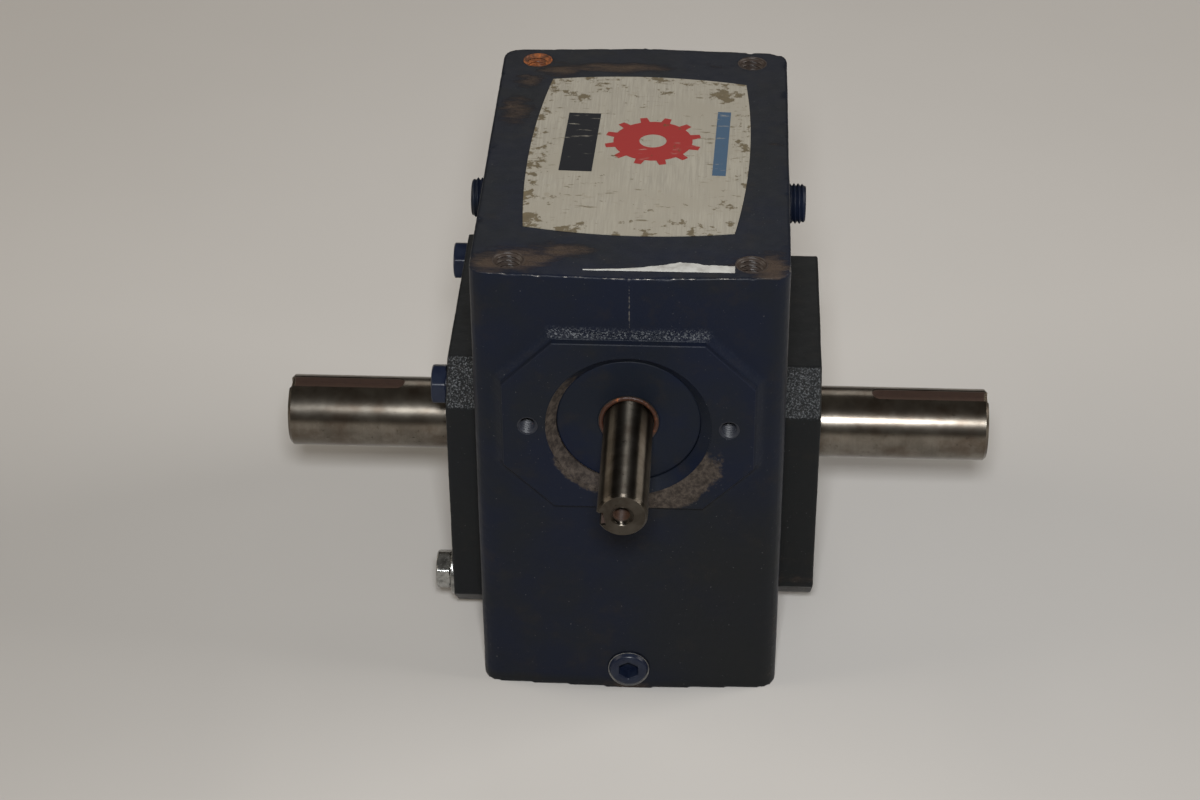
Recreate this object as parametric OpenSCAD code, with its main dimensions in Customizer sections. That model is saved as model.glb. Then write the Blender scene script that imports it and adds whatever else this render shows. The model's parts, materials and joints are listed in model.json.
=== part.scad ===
// Right-angle worm gear reducer with a through output shaft, in millimetres.
// Origin: centre of the base face. +X: right output shaft. -Y: input shaft. +Z: up.

/* [Housing] */
// Width of the casting, along the output axis
housing_w = 100.6; // [99:0.2:103]
// Depth of the casting at its side edges
housing_d = 152; // [150:0.5:155]
// Height of the casting, from base to top
housing_h = 167; // [165:0.5:172]
// Extra depth of the front and rear faces at the parting plane
draft_v = 2.4; // [1:0.1:2.6]
// Radius of the vertical corners
corner_r = 6; // [3:0.5:8]
// Thickness of the front and rear walls
end_wall = 8; // [7:0.5:9]
// Thickness of the base and the top
floor_wall = 9; // [8:0.5:10]

/* [Axes] */
// Height of the output axis above the base
output_z = 60; // [60:0.1:62]
// Distance between the worm axis and the wheel axis
centre_distance = 52.4; // [52.4:0.1:52.5]

/* [Output shaft] */
// Diameter of the output shaft
output_d = 25.4; // [25:0.1:25.4]
// Length of the output shaft, end to end
output_len = 248.3; // [246:0.1:252]
// Width of the output keyways
output_key_w = 6.35; // [5:0.05:6.5]
// Length of the output keyways
output_key_len = 41; // [30:1:50]

/* [Input shaft] */
// Diameter of the input shaft
input_d = 15.875; // [15:0.125:15.875]
// Distance from the wheel axis to the end of the input shaft
input_reach = 128.2; // [115:0.2:135]
// Width of the input keyway
input_key_w = 4.76; // [4:0.01:5]
// Length of the input keyway
input_key_len = 34; // [25:1:38]
// Direction of the input keyway, from +X towards +Z
input_key_angle = 191; // [180:1:200]

/* [Input pad] */
// Width of the octagonal pad
pad_w = 81.2; // [80:0.2:84]
// Height of the octagonal pad
pad_h = 63.6; // [62:0.2:66]
// Corner chamfer of the pad
pad_chamfer = 16.4; // [14:0.2:18]
// Distance of the pad face from the wheel axis
pad_y = 81.3; // [81:0.1:82]
// Distance between the two tapped holes of the pad
pad_hole_spacing = 65; // [64:0.5:66]

/* [Output faces] */
// Side of the octagonal boss on the right
boss_side = 96.8; // [94:0.2:98]
// Corner chamfer of the boss and of the cover
octagon_chamfer = 12.6; // [11:0.1:13]
// Distance of the boss face from the parting plane
boss_x = 63.3; // [63.3:0.1:64]
// Side of the octagonal cover on the left
cover_side = 104.8; // [102:0.2:106]
// How far the middles of the boss and the cover lie below the output axis
side_drop = 1.3; // [0:0.1:2]
// Distance of the cover's outer face from the parting plane
cover_x = 62.5; // [62.5:0.1:63]
// Distance between the cover bolts
bolt_spacing = 79.6; // [79:0.2:80]

/* [Fixings] */
// Spacing of the tapped holes in the top and the base, along the output axis
foot_spacing_x = 76.5; // [75:0.5:77]
// Spacing of the tapped holes in the top and the base, across the output axis
foot_spacing_y = 136.2; // [135:0.1:137]
// Radius of the tapped holes in the top and the base
foot_hole_r = 4.76; // [4:0.01:4.8]
// Radius of the tapped holes in the input pad and the input shaft
pad_hole_r = 3.175; // [3:0.005:3.3]
// Radius of the cover bolt threads
bolt_r = 3.97; // [3.8:0.01:4]
// Radius of the pipe plugs
plug_r = 6.85; // [6.5:0.05:6.9]
// Height of the two side plugs
side_plug_z = 149.5; // [148:0.5:150]
// Height of the drain plug
drain_plug_z = 9; // [9:0.5:10]

/* [Gears] */
// Module of the worm and the wheel
gear_module = 2.56; // [2.55:0.005:2.56]
// Teeth of the wheel, meshing with a single-start worm
wheel_teeth = 30; // [30]
// Face width of the wheel's bronze rim
rim_w = 22; // [18:1:24]
// Axial thickness of the worm's thread at its pitch radius
thread_thickness = 3.4; // [3:0.1:3.5]

/* [Hidden] */

$fn = 96;
eps = 0.5;      // how far a cutter passes its face

paint = [0.11, 0.12, 0.19];
cast_paint = [0.13, 0.14, 0.17];
steel = [0.55, 0.53, 0.50];
dark_steel = [0.30, 0.27, 0.24];
bright_steel = [0.75, 0.76, 0.78];
bronze = [0.72, 0.50, 0.25];
iron = [0.33, 0.33, 0.34];
rubber = [0.08, 0.08, 0.08];
sealant = [0.60, 0.12, 0.08];
label_foil = [0.78, 0.76, 0.68];

input_z = output_z + centre_distance;
output_r = output_d / 2;
input_r = input_d / 2;

// cavity
cavity_left = 38.3;
cavity_right = 40;
post_r = 10;
post_h = 24;
foot_hole_depth = 16;
pad_hole_depth = 14;

// worm bearings: 20 x 47 x 14 ball bearings
ball_bore_r = 10;
ball_outer_r = 23.5;
ball_width = 14;
ball_r = 3.7;
ball_groove_r = 4;
ball_pitch_r = 16.75;
ball_count = 8;
inner_land_r = 14.3;
outer_land_r = 19.2;
worm_shoulder_y = 52.8;
bore_chamfer = 3.3;
worm_tube_r = 31;
worm_tube_y = 51.3;

// output bearings: 25.4 x 50.3 x 14.2 tapered roller bearings
taper_outer_r = 25.15;
taper_width = 14.2;
taper_x = 40.2;
roller_count = 17;
roller_big_r = 2.65;
roller_small_r = 2.4;
roller_len = 10;
roller_tilt = 10.5;
roller_start = [19.5, 2.2];     // radius and depth of the big end's centre
cage_t = 1;

// seals
input_seal_w = 7;
input_seal_face_y = 77.6;
input_seal_hole_r = 9.85;
output_seal_r = 20.64;
output_seal_w = 6.2;
output_seal_hole_r = 15.6;
output_seal_inset = 0.4;
lip_gap = 0.15;
relief_w = 0.7;                 // undercut that ends each shaft's seal journal
relief_depth = 0.3;

// retaining rings
ring_t = 1.5;
ring_groove_r = 24.8;
ring_y = worm_shoulder_y + ball_width + 0.1;

// cover
gasket_t = 0.4;
cover_hole_r = 46;
nose_r = 31;
nose_x = cavity_right;
bolt_len = 20;
bolt_head_af = 12.7;
bolt_head_h = 5.4;
washer_t = 1.6;
washer_r = 8.6;

// gears
worm_pitch_r = centre_distance - gear_module * wheel_teeth / 2;
wheel_pitch_r = gear_module * wheel_teeth / 2;
lead = PI * gear_module;
lead_angle = atan(lead / (2 * PI * worm_pitch_r));
thread_tip_r = worm_pitch_r + gear_module;
thread_root_r = worm_pitch_r - 3;
pressure_angle = 20;
worm_turns = 6;
throat_r = thread_root_r + 0.44;
rim_r = 41.6;
rim_bore_r = 30;
slot_floor_r = 35;
hub_len = 34;
hub_r = 22;

// name plate
plate_w = 69;
plate_d = 101;
plate_bow_x = 3;
plate_bow_y = 3.6;
plate_t = 0.4;
plate_at = [0.5, 1.6];

// Points of a polygon with each corner rounded by its own radius, in n steps.
function unit(v) = v / norm(v);
function round_corner(a, p, b, r, n) =
    let (u = unit(a - p), v = unit(b - p))
    let (half = acos(u * v) / 2, turn = 180 - 2 * half)
    let (c = p + unit(u + v) * r / sin(half))
    let (d0 = (p + u * r / tan(half) - c) / r, d1 = (p + v * r / tan(half) - c) / r)
    [for (i = [0:n]) c + r * (sin(turn * (1 - i / n)) * d0 + sin(turn * i / n) * d1) / sin(turn)];
function rounded(points, radii, n) =
    let (k = len(points))
    [for (i = [0:k - 1])
        for (q = radii[i] > 0
                ? round_corner(points[(i + k - 1) % k], points[i], points[(i + 1) % k], radii[i], n)
                : [points[i]]) q];

// Corners of a rectangle with 45 degree chamfers.
function octagon(w, h, c) = [
    [w / 2, h / 2 - c], [w / 2 - c, h / 2], [c - w / 2, h / 2], [-w / 2, h / 2 - c],
    [-w / 2, c - h / 2], [c - w / 2, -h / 2], [w / 2 - c, -h / 2], [w / 2, c - h / 2],
];

// Frames: the child's +Z points out of the casting, and z = 0 is at the wheel's or the worm's middle.
module output_side(side) {
    translate([0, 0, output_z]) rotate([0, side * 90, 0]) children();
}

module worm_side(side) {
    translate([0, 0, input_z]) rotate([-side * 90, 0, 0]) children();
}

module at_foot_holes(z) {
    for (x = [-1, 1], y = [-1, 1])
        translate([x * foot_spacing_x / 2, y * foot_spacing_y / 2, z]) children();
}

module at_cover_bolts(which) {
    for (k = which)
        translate([-cover_x, k[0] * bolt_spacing / 2, output_z + k[1] * bolt_spacing / 2])
            rotate([0, -90, 0]) children();
}

module tube(r_out, r_in, h) {
    difference() {
        cylinder(r = r_out, h = h);
        translate([0, 0, -eps]) cylinder(r = r_in, h = h + 2 * eps);
    }
}

// ---- housing and cover ----

module casting_block() {
    x = housing_w / 2;
    y = housing_d / 2;
    v = y + draft_v;
    outline = [[x, -y], [x, y], [0, v], [-x, y], [-x, -y], [0, -v]];
    radii = [corner_r, corner_r, 0, corner_r, corner_r, 0];
    linear_extrude(housing_h) polygon(rounded(outline, radii, 6));
}

module input_pad() {
    plinth = 2.5;
    flare = 4.5;
    worm_side(-1) {
        translate([0, 0, pad_y - end_wall])
            linear_extrude(end_wall) polygon(octagon(pad_w, pad_h, pad_chamfer));
        hull() {
            translate([0, 0, pad_y - plinth])
                linear_extrude(0.2) polygon(octagon(pad_w, pad_h, pad_chamfer));
            translate([0, 0, pad_y - plinth - 4])
                linear_extrude(0.2)
                    polygon(octagon(pad_w + 2 * flare, pad_h + 2 * flare, pad_chamfer + flare / 2));
        }
    }
}

module right_boss() {
    output_side(1)
        translate([side_drop, 0, housing_w / 2 - 4])
            linear_extrude(boss_x - housing_w / 2 + 4)
                polygon(octagon(boss_side, boss_side, octagon_chamfer));
}

module cavity() {
    y = housing_d / 2 - end_wall;
    difference() {
        translate([-cavity_left, -y, floor_wall])
            cube([cavity_left + cavity_right, 2 * y, housing_h - 2 * floor_wall]);
        at_foot_holes(0) cylinder(r = post_r, h = post_h);
        at_foot_holes(housing_h - post_h) cylinder(r = post_r, h = post_h);
        for (side = [-1, 1])
            worm_side(side) translate([0, 0, worm_tube_y]) cylinder(r = worm_tube_r, h = 40);
    }
}

// Bore of one worm bearing, open to the outside, with its shoulder and the ring groove.
module worm_bore(mouth, chamfer) {
    translate([0, 0, worm_tube_y - 3]) cylinder(r = 20.5, h = 10);
    translate([0, 0, worm_shoulder_y]) cylinder(r = ball_outer_r, h = 40);
    translate([0, 0, ring_y]) cylinder(r = ring_groove_r, h = ring_t + 0.1);
    translate([0, 0, mouth - chamfer])
        cylinder(r1 = ball_outer_r, r2 = ball_outer_r + chamfer + 0.5, h = chamfer + 0.5);
}

module output_bore() {
    translate([0, 0, nose_x - 4]) cylinder(r = taper_outer_r, h = taper_x + taper_width - nose_x + 4);
    translate([0, 0, nose_x]) cylinder(r = 18, h = 40);
}

module housing() {
    color(paint)
    difference() {
        union() {
            casting_block();
            input_pad();
            right_boss();
        }
        cavity();
        worm_side(-1) worm_bore(pad_y, bore_chamfer);
        worm_side(1) worm_bore(housing_d / 2 + draft_v, 0.8);
        output_side(1) output_bore();
        output_side(1) translate([0, 0, boss_x - output_seal_inset - output_seal_w])
            cylinder(r = output_seal_r, h = 20);
        output_side(-1) translate([0, 0, cavity_left - 4]) cylinder(r = cover_hole_r, h = 40);
        at_foot_holes(housing_h - foot_hole_depth) cylinder(r = foot_hole_r, h = 40);
        at_foot_holes(foot_hole_depth - 40) cylinder(r = foot_hole_r, h = 40);
        for (x = [-1, 1])
            translate([x * pad_hole_spacing / 2, 0, 0])
                worm_side(-1) translate([0, 0, pad_y - pad_hole_depth]) cylinder(r = pad_hole_r, h = 40);
        at_cover_bolts([[-1, -1], [-1, 1], [1, -1], [1, 1]])
            translate([0, 0, -bolt_len - 1.5]) cylinder(r = bolt_r, h = 40);
        side_plug_holes();
        translate([0, -housing_d / 2 + 16, drain_plug_z]) rotate([90, 0, 0]) cylinder(r = plug_r, h = 40);
    }
}

module side_plug_holes() {
    translate([0, 0, side_plug_z]) rotate([0, 90, 0]) {
        translate([0, 0, cavity_right - 4]) cylinder(r = plug_r, h = 40);
        translate([0, 0, -cavity_left - 36]) cylinder(r = plug_r, h = 40);
    }
}

module left_cover() {
    plate_t = cover_x - housing_w / 2 - gasket_t;
    color(cast_paint)
    output_side(-1)
    difference() {
        union() {
            translate([-side_drop, 0, cover_x - plate_t])
                linear_extrude(plate_t)
                    polygon(rounded(octagon(cover_side, cover_side, octagon_chamfer),
                        [for (i = [1:8]) 2], 4));
            translate([0, 0, nose_x]) cylinder(r = nose_r, h = 12);
            translate([0, 0, nose_x + 4]) cylinder(r = cover_hole_r - 0.05, h = 8);
        }
        output_bore();
        translate([0, 0, cover_x - output_seal_inset - output_seal_w]) cylinder(r = output_seal_r, h = 20);
        for (y = [-1, 1], z = [-1, 1])
            translate([z * bolt_spacing / 2, y * bolt_spacing / 2, cover_x - 20])
                cylinder(r = bolt_r + 0.35, h = 40);
    }
}

module cover_gasket() {
    side = cover_side - 0.8;
    color(sealant)
    output_side(-1)
    translate([0, 0, housing_w / 2])
    difference() {
        translate([-side_drop, 0, 0]) linear_extrude(gasket_t)
            polygon(octagon(side, side, octagon_chamfer));
        translate([0, 0, -eps]) cylinder(r = cover_hole_r, h = 2);
        for (y = [-1, 1], z = [-1, 1])
            translate([z * bolt_spacing / 2, y * bolt_spacing / 2, -eps]) cylinder(r = bolt_r + 0.35, h = 2);
    }
}

module hex_bolt(lift) {
    translate([0, 0, lift])
    intersection() {
        cylinder(r = bolt_head_af / 2 / cos(30), h = bolt_head_h, $fn = 6);
        cylinder(r1 = 20, r2 = bolt_head_af / 2 + 0.3, h = bolt_head_h);
    }
    translate([0, 0, -bolt_len]) cylinder(r = bolt_r - 0.07, h = bolt_len + lift + 0.5);
}

module cover_bolts() {
    color(paint) at_cover_bolts([[-1, 1], [1, -1], [1, 1]]) hex_bolt(0);
}

module replacement_bolt() {
    color(bright_steel) at_cover_bolts([[-1, -1]]) hex_bolt(washer_t);
}

module replacement_washer() {
    color(bright_steel) at_cover_bolts([[-1, -1]]) tube(washer_r, bolt_r + 0.3, washer_t);
}

// ---- seals, rings and caps: local z = 0 is the oil side ----

module seal_case(r_out, r_hole, w, t, bevel) {
    rotate_extrude()
        polygon([
            [r_hole, w - t], [r_hole, w], [r_out - bevel, w], [r_out, w - bevel],
            [r_out, 0], [r_out - t, 0], [r_out - t, w - t - bevel / 4], [r_out - t - bevel / 4, w - t],
        ]);
}

module seal_lip(shaft_r, r_hole, w, t) {
    difference() {
        rotate_extrude()
            polygon([
                [r_hole, w], [r_hole, 1.2], [shaft_r + 1.6, 0.6], [shaft_r + lip_gap, 1.6],
                [shaft_r + 0.9, 2.7], [shaft_r + 0.9, w - t], [shaft_r + lip_gap + 0.1, w],
            ]);
        seal_spring(r_hole, 0.75);
    }
}

module seal_spring(r_hole, r) {
    translate([0, 0, 2.4]) rotate_extrude() translate([r_hole + 0.2, 0]) circle(r = r, $fn = 32);
}

module retaining_ring() {
    inner = 21.2;
    outer = ring_groove_r - 0.2;
    gap = 15;
    lug_at = 20.2;
    difference() {
        union() {
            tube(outer, inner, ring_t);
            for (a = [-1, 1]) rotate(90 + a * gap) translate([lug_at, 0, 0]) cylinder(r = 2, h = ring_t);
        }
        translate([-lug_at * sin(gap) + 1.4, inner - 6, -eps])
            cube([2 * (lug_at * sin(gap) - 1.4), 12, ring_t + 2 * eps]);
        for (a = [-1, 1])
            rotate(90 + a * gap) translate([lug_at, 0, -eps]) cylinder(r = 0.9, h = ring_t + 2 * eps);
    }
}

module input_seal_case() {
    color(paint) worm_side(-1) translate([0, 0, input_seal_face_y - input_seal_w])
        seal_case(ball_outer_r, input_seal_hole_r, input_seal_w, 1.6, 0.9);
}

module input_seal_lip() {
    color(rubber) worm_side(-1) translate([0, 0, input_seal_face_y - input_seal_w])
        seal_lip(input_r, input_seal_hole_r, input_seal_w, 1.6);
}

module input_seal_spring() {
    color(bright_steel) worm_side(-1) translate([0, 0, input_seal_face_y - input_seal_w])
        seal_spring(input_seal_hole_r, 0.7);
}

module front_retaining_ring() {
    color(dark_steel) worm_side(-1) translate([0, 0, ring_y]) retaining_ring();
}

module rear_retaining_ring() {
    color(dark_steel) worm_side(1) translate([0, 0, ring_y]) retaining_ring();
}

module rear_end_cap() {
    w = 7;
    color(paint) worm_side(1) translate([0, 0, input_seal_face_y - w])
        rotate_extrude()
            polygon([[0, w - 1.6], [0, w], [ball_outer_r - 1.5, w], [ball_outer_r, w - 1.5],
                [ball_outer_r, 0], [ball_outer_r - 2, 0], [ball_outer_r - 2, w - 1.6]]);
}

// ---- ball bearings of the worm: local z = 0 is the inner face ----

module ball_groove(r) {
    translate([0, 0, ball_width / 2]) rotate_extrude() translate([ball_pitch_r, 0]) circle(r = r, $fn = 48);
}

module outer_race(side) {
    color(bright_steel) worm_side(side) translate([0, 0, worm_shoulder_y])
        difference() {
            tube(ball_outer_r, outer_land_r, ball_width);
            ball_groove(ball_groove_r);
        }
}

module inner_race(side) {
    color(bright_steel) worm_side(side) translate([0, 0, worm_shoulder_y])
        difference() {
            tube(inner_land_r, ball_bore_r, ball_width);
            ball_groove(ball_groove_r);
        }
}

module balls(side) {
    color(bright_steel) worm_side(side) translate([0, 0, worm_shoulder_y + ball_width / 2])
        for (i = [0:ball_count - 1])
            rotate(360 * i / ball_count) translate([ball_pitch_r, 0, 0]) sphere(r = ball_r, $fn = 48);
}

module ball_cage(side) {
    half = 5.7;
    color(bronze) worm_side(side) translate([0, 0, worm_shoulder_y + ball_width / 2])
        difference() {
            translate([0, 0, -half]) tube(ball_pitch_r + 0.9, ball_pitch_r - 0.9, 2 * half);
            for (i = [0:ball_count - 1])
                rotate(360 * i / ball_count)
                    translate([ball_pitch_r - 4, 0, 0]) rotate([0, 90, 0]) cylinder(r = ball_r + 0.3, h = 8);
        }
}

// ---- tapered bearings of the output shaft: local z = 0 is the face towards the wheel ----

module bearing_cup(side) {
    color(bright_steel) output_side(side) translate([0, 0, taper_x])
        rotate_extrude()
            polygon([[22.65, 1.2], [taper_outer_r, 1.2], [taper_outer_r, taper_width], [20, taper_width]]);
}

module bearing_cone(side) {
    color(bright_steel) output_side(side) translate([0, 0, taper_x])
        rotate_extrude()
            polygon([[output_r, 0], [18.3, 0], [18.3, 1.5], [16.55, 1.6], [14.85, 12.6],
                [15.7, 12.8], [15.7, taper_width], [output_r, taper_width]]);
}

module one_roller(extra) {
    translate([roller_start[0], 0, roller_start[1]])
        rotate([0, -roller_tilt, 0])
            translate([0, 0, -extra])
                cylinder(r1 = roller_big_r + extra, r2 = roller_small_r + extra, h = roller_len + 2 * extra);
}

module rollers(side) {
    color(bright_steel) output_side(side) translate([0, 0, taper_x])
        for (i = [0:roller_count - 1]) rotate(360 * i / roller_count) one_roller(0);
}

module roller_cage(side) {
    big = roller_start[0] - cage_t / 2 + 0.2;
    small = big - (roller_len + 2.4) * tan(roller_tilt);
    color(steel) output_side(side) translate([0, 0, taper_x])
        difference() {
            rotate_extrude()
                polygon([[big, 1], [big + cage_t, 1], [small + cage_t, 13.4], [small, 13.4]]);
            for (i = [0:roller_count - 1]) rotate(360 * i / roller_count) one_roller(0.2);
        }
}

module output_seal_case(side, face) {
    color(paint) output_side(side) translate([0, 0, face - output_seal_inset - output_seal_w])
        seal_case(output_seal_r, output_seal_hole_r, output_seal_w, 1.2, 1);
}

module output_seal_lip(side, face) {
    color(rubber) output_side(side) translate([0, 0, face - output_seal_inset - output_seal_w])
        seal_lip(output_r, output_seal_hole_r, output_seal_w, 1.2);
}

module output_seal_spring(side, face) {
    color(bright_steel) output_side(side) translate([0, 0, face - output_seal_inset - output_seal_w])
        seal_spring(output_seal_hole_r, 0.7);
}

// ---- worm shaft ----

// Radius of the worm's section at an angle from the middle of its thread.
function thread_radius(angle) =
    let (s = abs(lead * angle / 360))
    let (r = worm_pitch_r + (thread_thickness / 2 - s) / tan(pressure_angle))
    max(thread_root_r, min(thread_tip_r, r));

module worm_thread() {
    steps = 20;
    angles = [for (i = [0:steps - 1]) 360 * i / steps - 180];
    translate([0, 0, -worm_turns * lead / 2])
        rotate(90)
            linear_extrude(worm_turns * lead, twist = -360 * worm_turns, slices = worm_turns * steps,
                $fn = steps)
                polygon([for (a = angles) thread_radius(a) * [cos(a), sin(a)]]);
}

module worm_shaft() {
    end = worm_turns * lead / 2;
    neck_r = 10.4;
    seat_end = worm_shoulder_y + ball_width;
    color(dark_steel)
    difference() {
        union() {
            worm_side(1) worm_thread();
            for (side = [-1, 1])
                worm_side(side) {
                    translate([0, 0, end - 2]) cylinder(r = neck_r, h = worm_shoulder_y - end);
                    translate([0, 0, worm_shoulder_y - 4]) cylinder(r = 13.2, h = 4);
                    translate([0, 0, worm_shoulder_y - 1]) cylinder(r = ball_bore_r, h = ball_width + 3.2);
                }
            worm_side(-1) rotate(input_key_angle - 67.5) {
                translate([0, 0, seat_end]) cylinder(r = input_r, h = input_reach - seat_end - 1);
                translate([0, 0, input_reach - 1]) cylinder(r1 = input_r, r2 = input_r - 0.7, h = 1);
            }
        }
        worm_side(-1) {
            translate([0, 0, seat_end + 0.1]) tube(12, 9.4, 1.3);
            translate([0, 0, input_seal_face_y + 0.05 - relief_w])
                tube(input_r + 1, input_r - relief_depth, relief_w);
            translate([0, 0, input_reach - 13]) cylinder(r = pad_hole_r, h = 20);
            translate([0, 0, input_reach - 0.5]) cylinder(r1 = pad_hole_r, r2 = pad_hole_r + 1, h = 1);
        }
        input_keyway();
    }
}

module input_keyway() {
    depth = 2.4;
    worm_side(-1) rotate(input_key_angle)
        translate([0, 0, input_reach - input_key_len]) {
            translate([input_r - depth, -input_key_w / 2, 0])
                cube([depth + 2, input_key_w, input_key_len + 2]);
            translate([input_r - depth, 0, 0])
                rotate([0, 90, 0]) cylinder(r = input_key_w / 2, h = depth + 2);
        }
}

module worm_snap_ring() {
    color(dark_steel)
    worm_side(-1) translate([0, 0, worm_shoulder_y + ball_width + 0.1])
        difference() {
            tube(11.6, 9.4, 1.2);
            translate([0, -1.5, -eps]) cube([20, 3, 3]);
        }
}

// ---- output shaft and wheel ----

module key_slot(x0, x1, depth) {
    translate([x0, -output_key_w / 2, output_r - depth]) cube([x1 - x0, output_key_w, depth + 2]);
}

module output_shaft() {
    depth = 3.2;
    seam_angle = 37.5;          // the round face starts and ends away from the keyways
    end = output_len / 2;
    key_start = end - output_key_len + output_key_w / 2;
    color(steel)
    translate([0, 0, output_z])
    difference() {
        rotate([0, 90, 0]) rotate(seam_angle) {
            translate([0, 0, -end + 1]) cylinder(r = output_r, h = output_len - 2);
            translate([0, 0, end - 1]) cylinder(r1 = output_r, r2 = output_r - 0.9, h = 1);
            translate([0, 0, -end]) cylinder(r1 = output_r - 0.9, r2 = output_r, h = 1);
        }
        for (side = [0, 180]) rotate(side) {
            key_slot(key_start, end + 2, depth);
            translate([key_start, 0, output_r - depth]) cylinder(r = output_key_w / 2, h = depth + 2);
        }
        key_slot(-hub_len / 2, hub_len / 2, depth);
        for (x = [-cover_x + output_seal_inset - 0.05, boss_x - output_seal_inset + 0.05 - relief_w])
            translate([x, 0, 0]) rotate([0, 90, 0]) tube(output_r + 1, output_r - relief_depth, relief_w);
    }
}

module wheel_key() {
    color(dark_steel)
    translate([-hub_len / 2, -output_key_w / 2, output_z + output_r - 3.2])
        cube([hub_len, output_key_w, output_key_w]);
}

module wheel_hub() {
    web_r = 27;
    color(iron)
    translate([0, 0, output_z])
    difference() {
        rotate([0, 90, 0]) {
            translate([0, 0, -hub_len / 2]) cylinder(r = hub_r, h = hub_len);
            translate([0, 0, -6]) cylinder(r = web_r, h = 12);
            translate([0, 0, -rim_w / 2]) tube(rim_bore_r, web_r - 1, rim_w);
        }
        rotate([0, 90, 0]) translate([0, 0, -hub_len]) cylinder(r = output_r, h = 2 * hub_len);
        translate([-hub_len, -output_key_w / 2, 0])
            cube([2 * hub_len, output_key_w, output_r - 3.2 + output_key_w]);
    }
}

// Half width of a tooth gap of the wheel, as a function of the radius it is at.
function gap_half(r) = let (d = r - 36) 1.25 + 0.2175 * d + 0.044 * d * d;

module tooth_gap() {
    heights = [36, 37.5, 39, 40.5, 42];
    top = gap_half(42) + 1.4;
    outline = concat(
        [[gap_half(36) - 0.1, slot_floor_r]],
        [for (h = heights) [gap_half(h), h]],
        [[top, 44], [-top, 44]],
        [for (i = [4:-1:0]) [-gap_half(heights[i]), heights[i]]],
        [[0.1 - gap_half(36), slot_floor_r]]
    );
    rotate(-lead_angle) rotate([90, 0, 90]) translate([0, 0, -rim_w])
        linear_extrude(2 * rim_w) polygon(outline);
}

module wheel_rim() {
    color(bronze)
    translate([0, 0, output_z])
    difference() {
        rotate([0, 90, 0]) translate([0, 0, -rim_w / 2]) tube(rim_r, rim_bore_r, rim_w);
        rotate([0, 90, 0]) rotate_extrude() translate([centre_distance, 0]) circle(r = throat_r);
        for (i = [0:wheel_teeth - 1]) rotate([360 * i / wheel_teeth, 0, 0]) tooth_gap();
    }
}

module spacer(side) {
    color(steel) output_side(side) translate([0, 0, hub_len / 2])
        tube(16.5, output_r, taper_x - hub_len / 2);
}

// ---- plugs and name plate ----

// A threaded pipe plug with a hexagon socket: local z = 0 is the casting's face.
module pipe_plug(proud, engaged) {
    socket_af = 6.35;
    difference() {
        union() {
            translate([0, 0, -engaged]) cylinder(r = plug_r - 0.05, h = engaged + proud - 0.6);
            translate([0, 0, proud - 0.6]) cylinder(r1 = plug_r - 0.05, r2 = plug_r - 0.65, h = 0.6);
        }
        translate([0, 0, proud - 5]) cylinder(r = socket_af / 2 / cos(30), h = 10, $fn = 6);
    }
}

module left_plug() {
    color(paint) translate([-housing_w / 2, 0, side_plug_z]) rotate([0, -90, 0]) pipe_plug(5.9, 8);
}

module right_plug() {
    color(paint) translate([housing_w / 2, 0, side_plug_z]) rotate([0, 90, 0]) pipe_plug(6.4, 8);
}

module drain_plug() {
    color(paint) translate([0, -housing_d / 2 - draft_v, drain_plug_z]) rotate([90, 0, 0]) pipe_plug(1.5, 9);
}

function bowed(a, b, bow, n) =
    let (side = b - a, out = unit([side[1], -side[0]]))
    [for (i = [0:n - 1]) a + side * i / n + out * bow * 4 * (i / n) * (1 - i / n)];

module name_plate() {
    x = plate_w / 2;
    y = plate_d / 2;
    corners = [[-x, -y], [x, -y], [x, y], [-x, y]];
    bows = [plate_bow_y, plate_bow_x, plate_bow_y, plate_bow_x];
    color(label_foil)
    translate([plate_at[0], plate_at[1], housing_h])
        linear_extrude(plate_t)
            polygon([for (k = [0:3]) for (p = bowed(corners[k], corners[(k + 1) % 4], bows[k], 12)) p]);
}

housing();
left_cover();
cover_gasket();
cover_bolts();
replacement_bolt();
replacement_washer();
input_seal_case();
input_seal_lip();
input_seal_spring();
front_retaining_ring();
outer_race(-1);  // front_outer_race
inner_race(-1);  // front_inner_race
balls(-1);  // front_balls
ball_cage(-1);  // front_ball_cage
outer_race(1);  // rear_outer_race
inner_race(1);  // rear_inner_race
balls(1);  // rear_balls
ball_cage(1);  // rear_ball_cage
rear_retaining_ring();
rear_end_cap();
worm_shaft();
worm_snap_ring();
output_shaft();
wheel_key();
wheel_hub();
wheel_rim();
spacer(-1);  // left_spacer
spacer(1);  // right_spacer
bearing_cup(-1);  // left_bearing_cup
bearing_cone(-1);  // left_bearing_cone
rollers(-1);  // left_rollers
roller_cage(-1);  // left_roller_cage
bearing_cup(1);  // right_bearing_cup
bearing_cone(1);  // right_bearing_cone
rollers(1);  // right_rollers
roller_cage(1);  // right_roller_cage
output_seal_case(-1, cover_x);  // left_seal_case
output_seal_lip(-1, cover_x);  // left_seal_lip
output_seal_spring(-1, cover_x);  // left_seal_spring
output_seal_case(1, boss_x);  // right_seal_case
output_seal_lip(1, boss_x);  // right_seal_lip
output_seal_spring(1, boss_x);  // right_seal_spring
left_plug();
right_plug();
drain_plug();
name_plate();
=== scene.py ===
"""Looks of the worm gear reducer: cast skin, threads, fixings, name plate and materials around the CAD frame.

Lengths are in metres, with MM for sizes that are easier to read in millimetres. +X is the right output shaft,
-Y the input shaft and +Z up. Places come from the frame's boxes and mounts, and from sizes given here.
"""

import json
import math
from contextlib import contextmanager

import bmesh
import bpy
import numpy as np
from mathutils import Matrix, Vector


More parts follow.
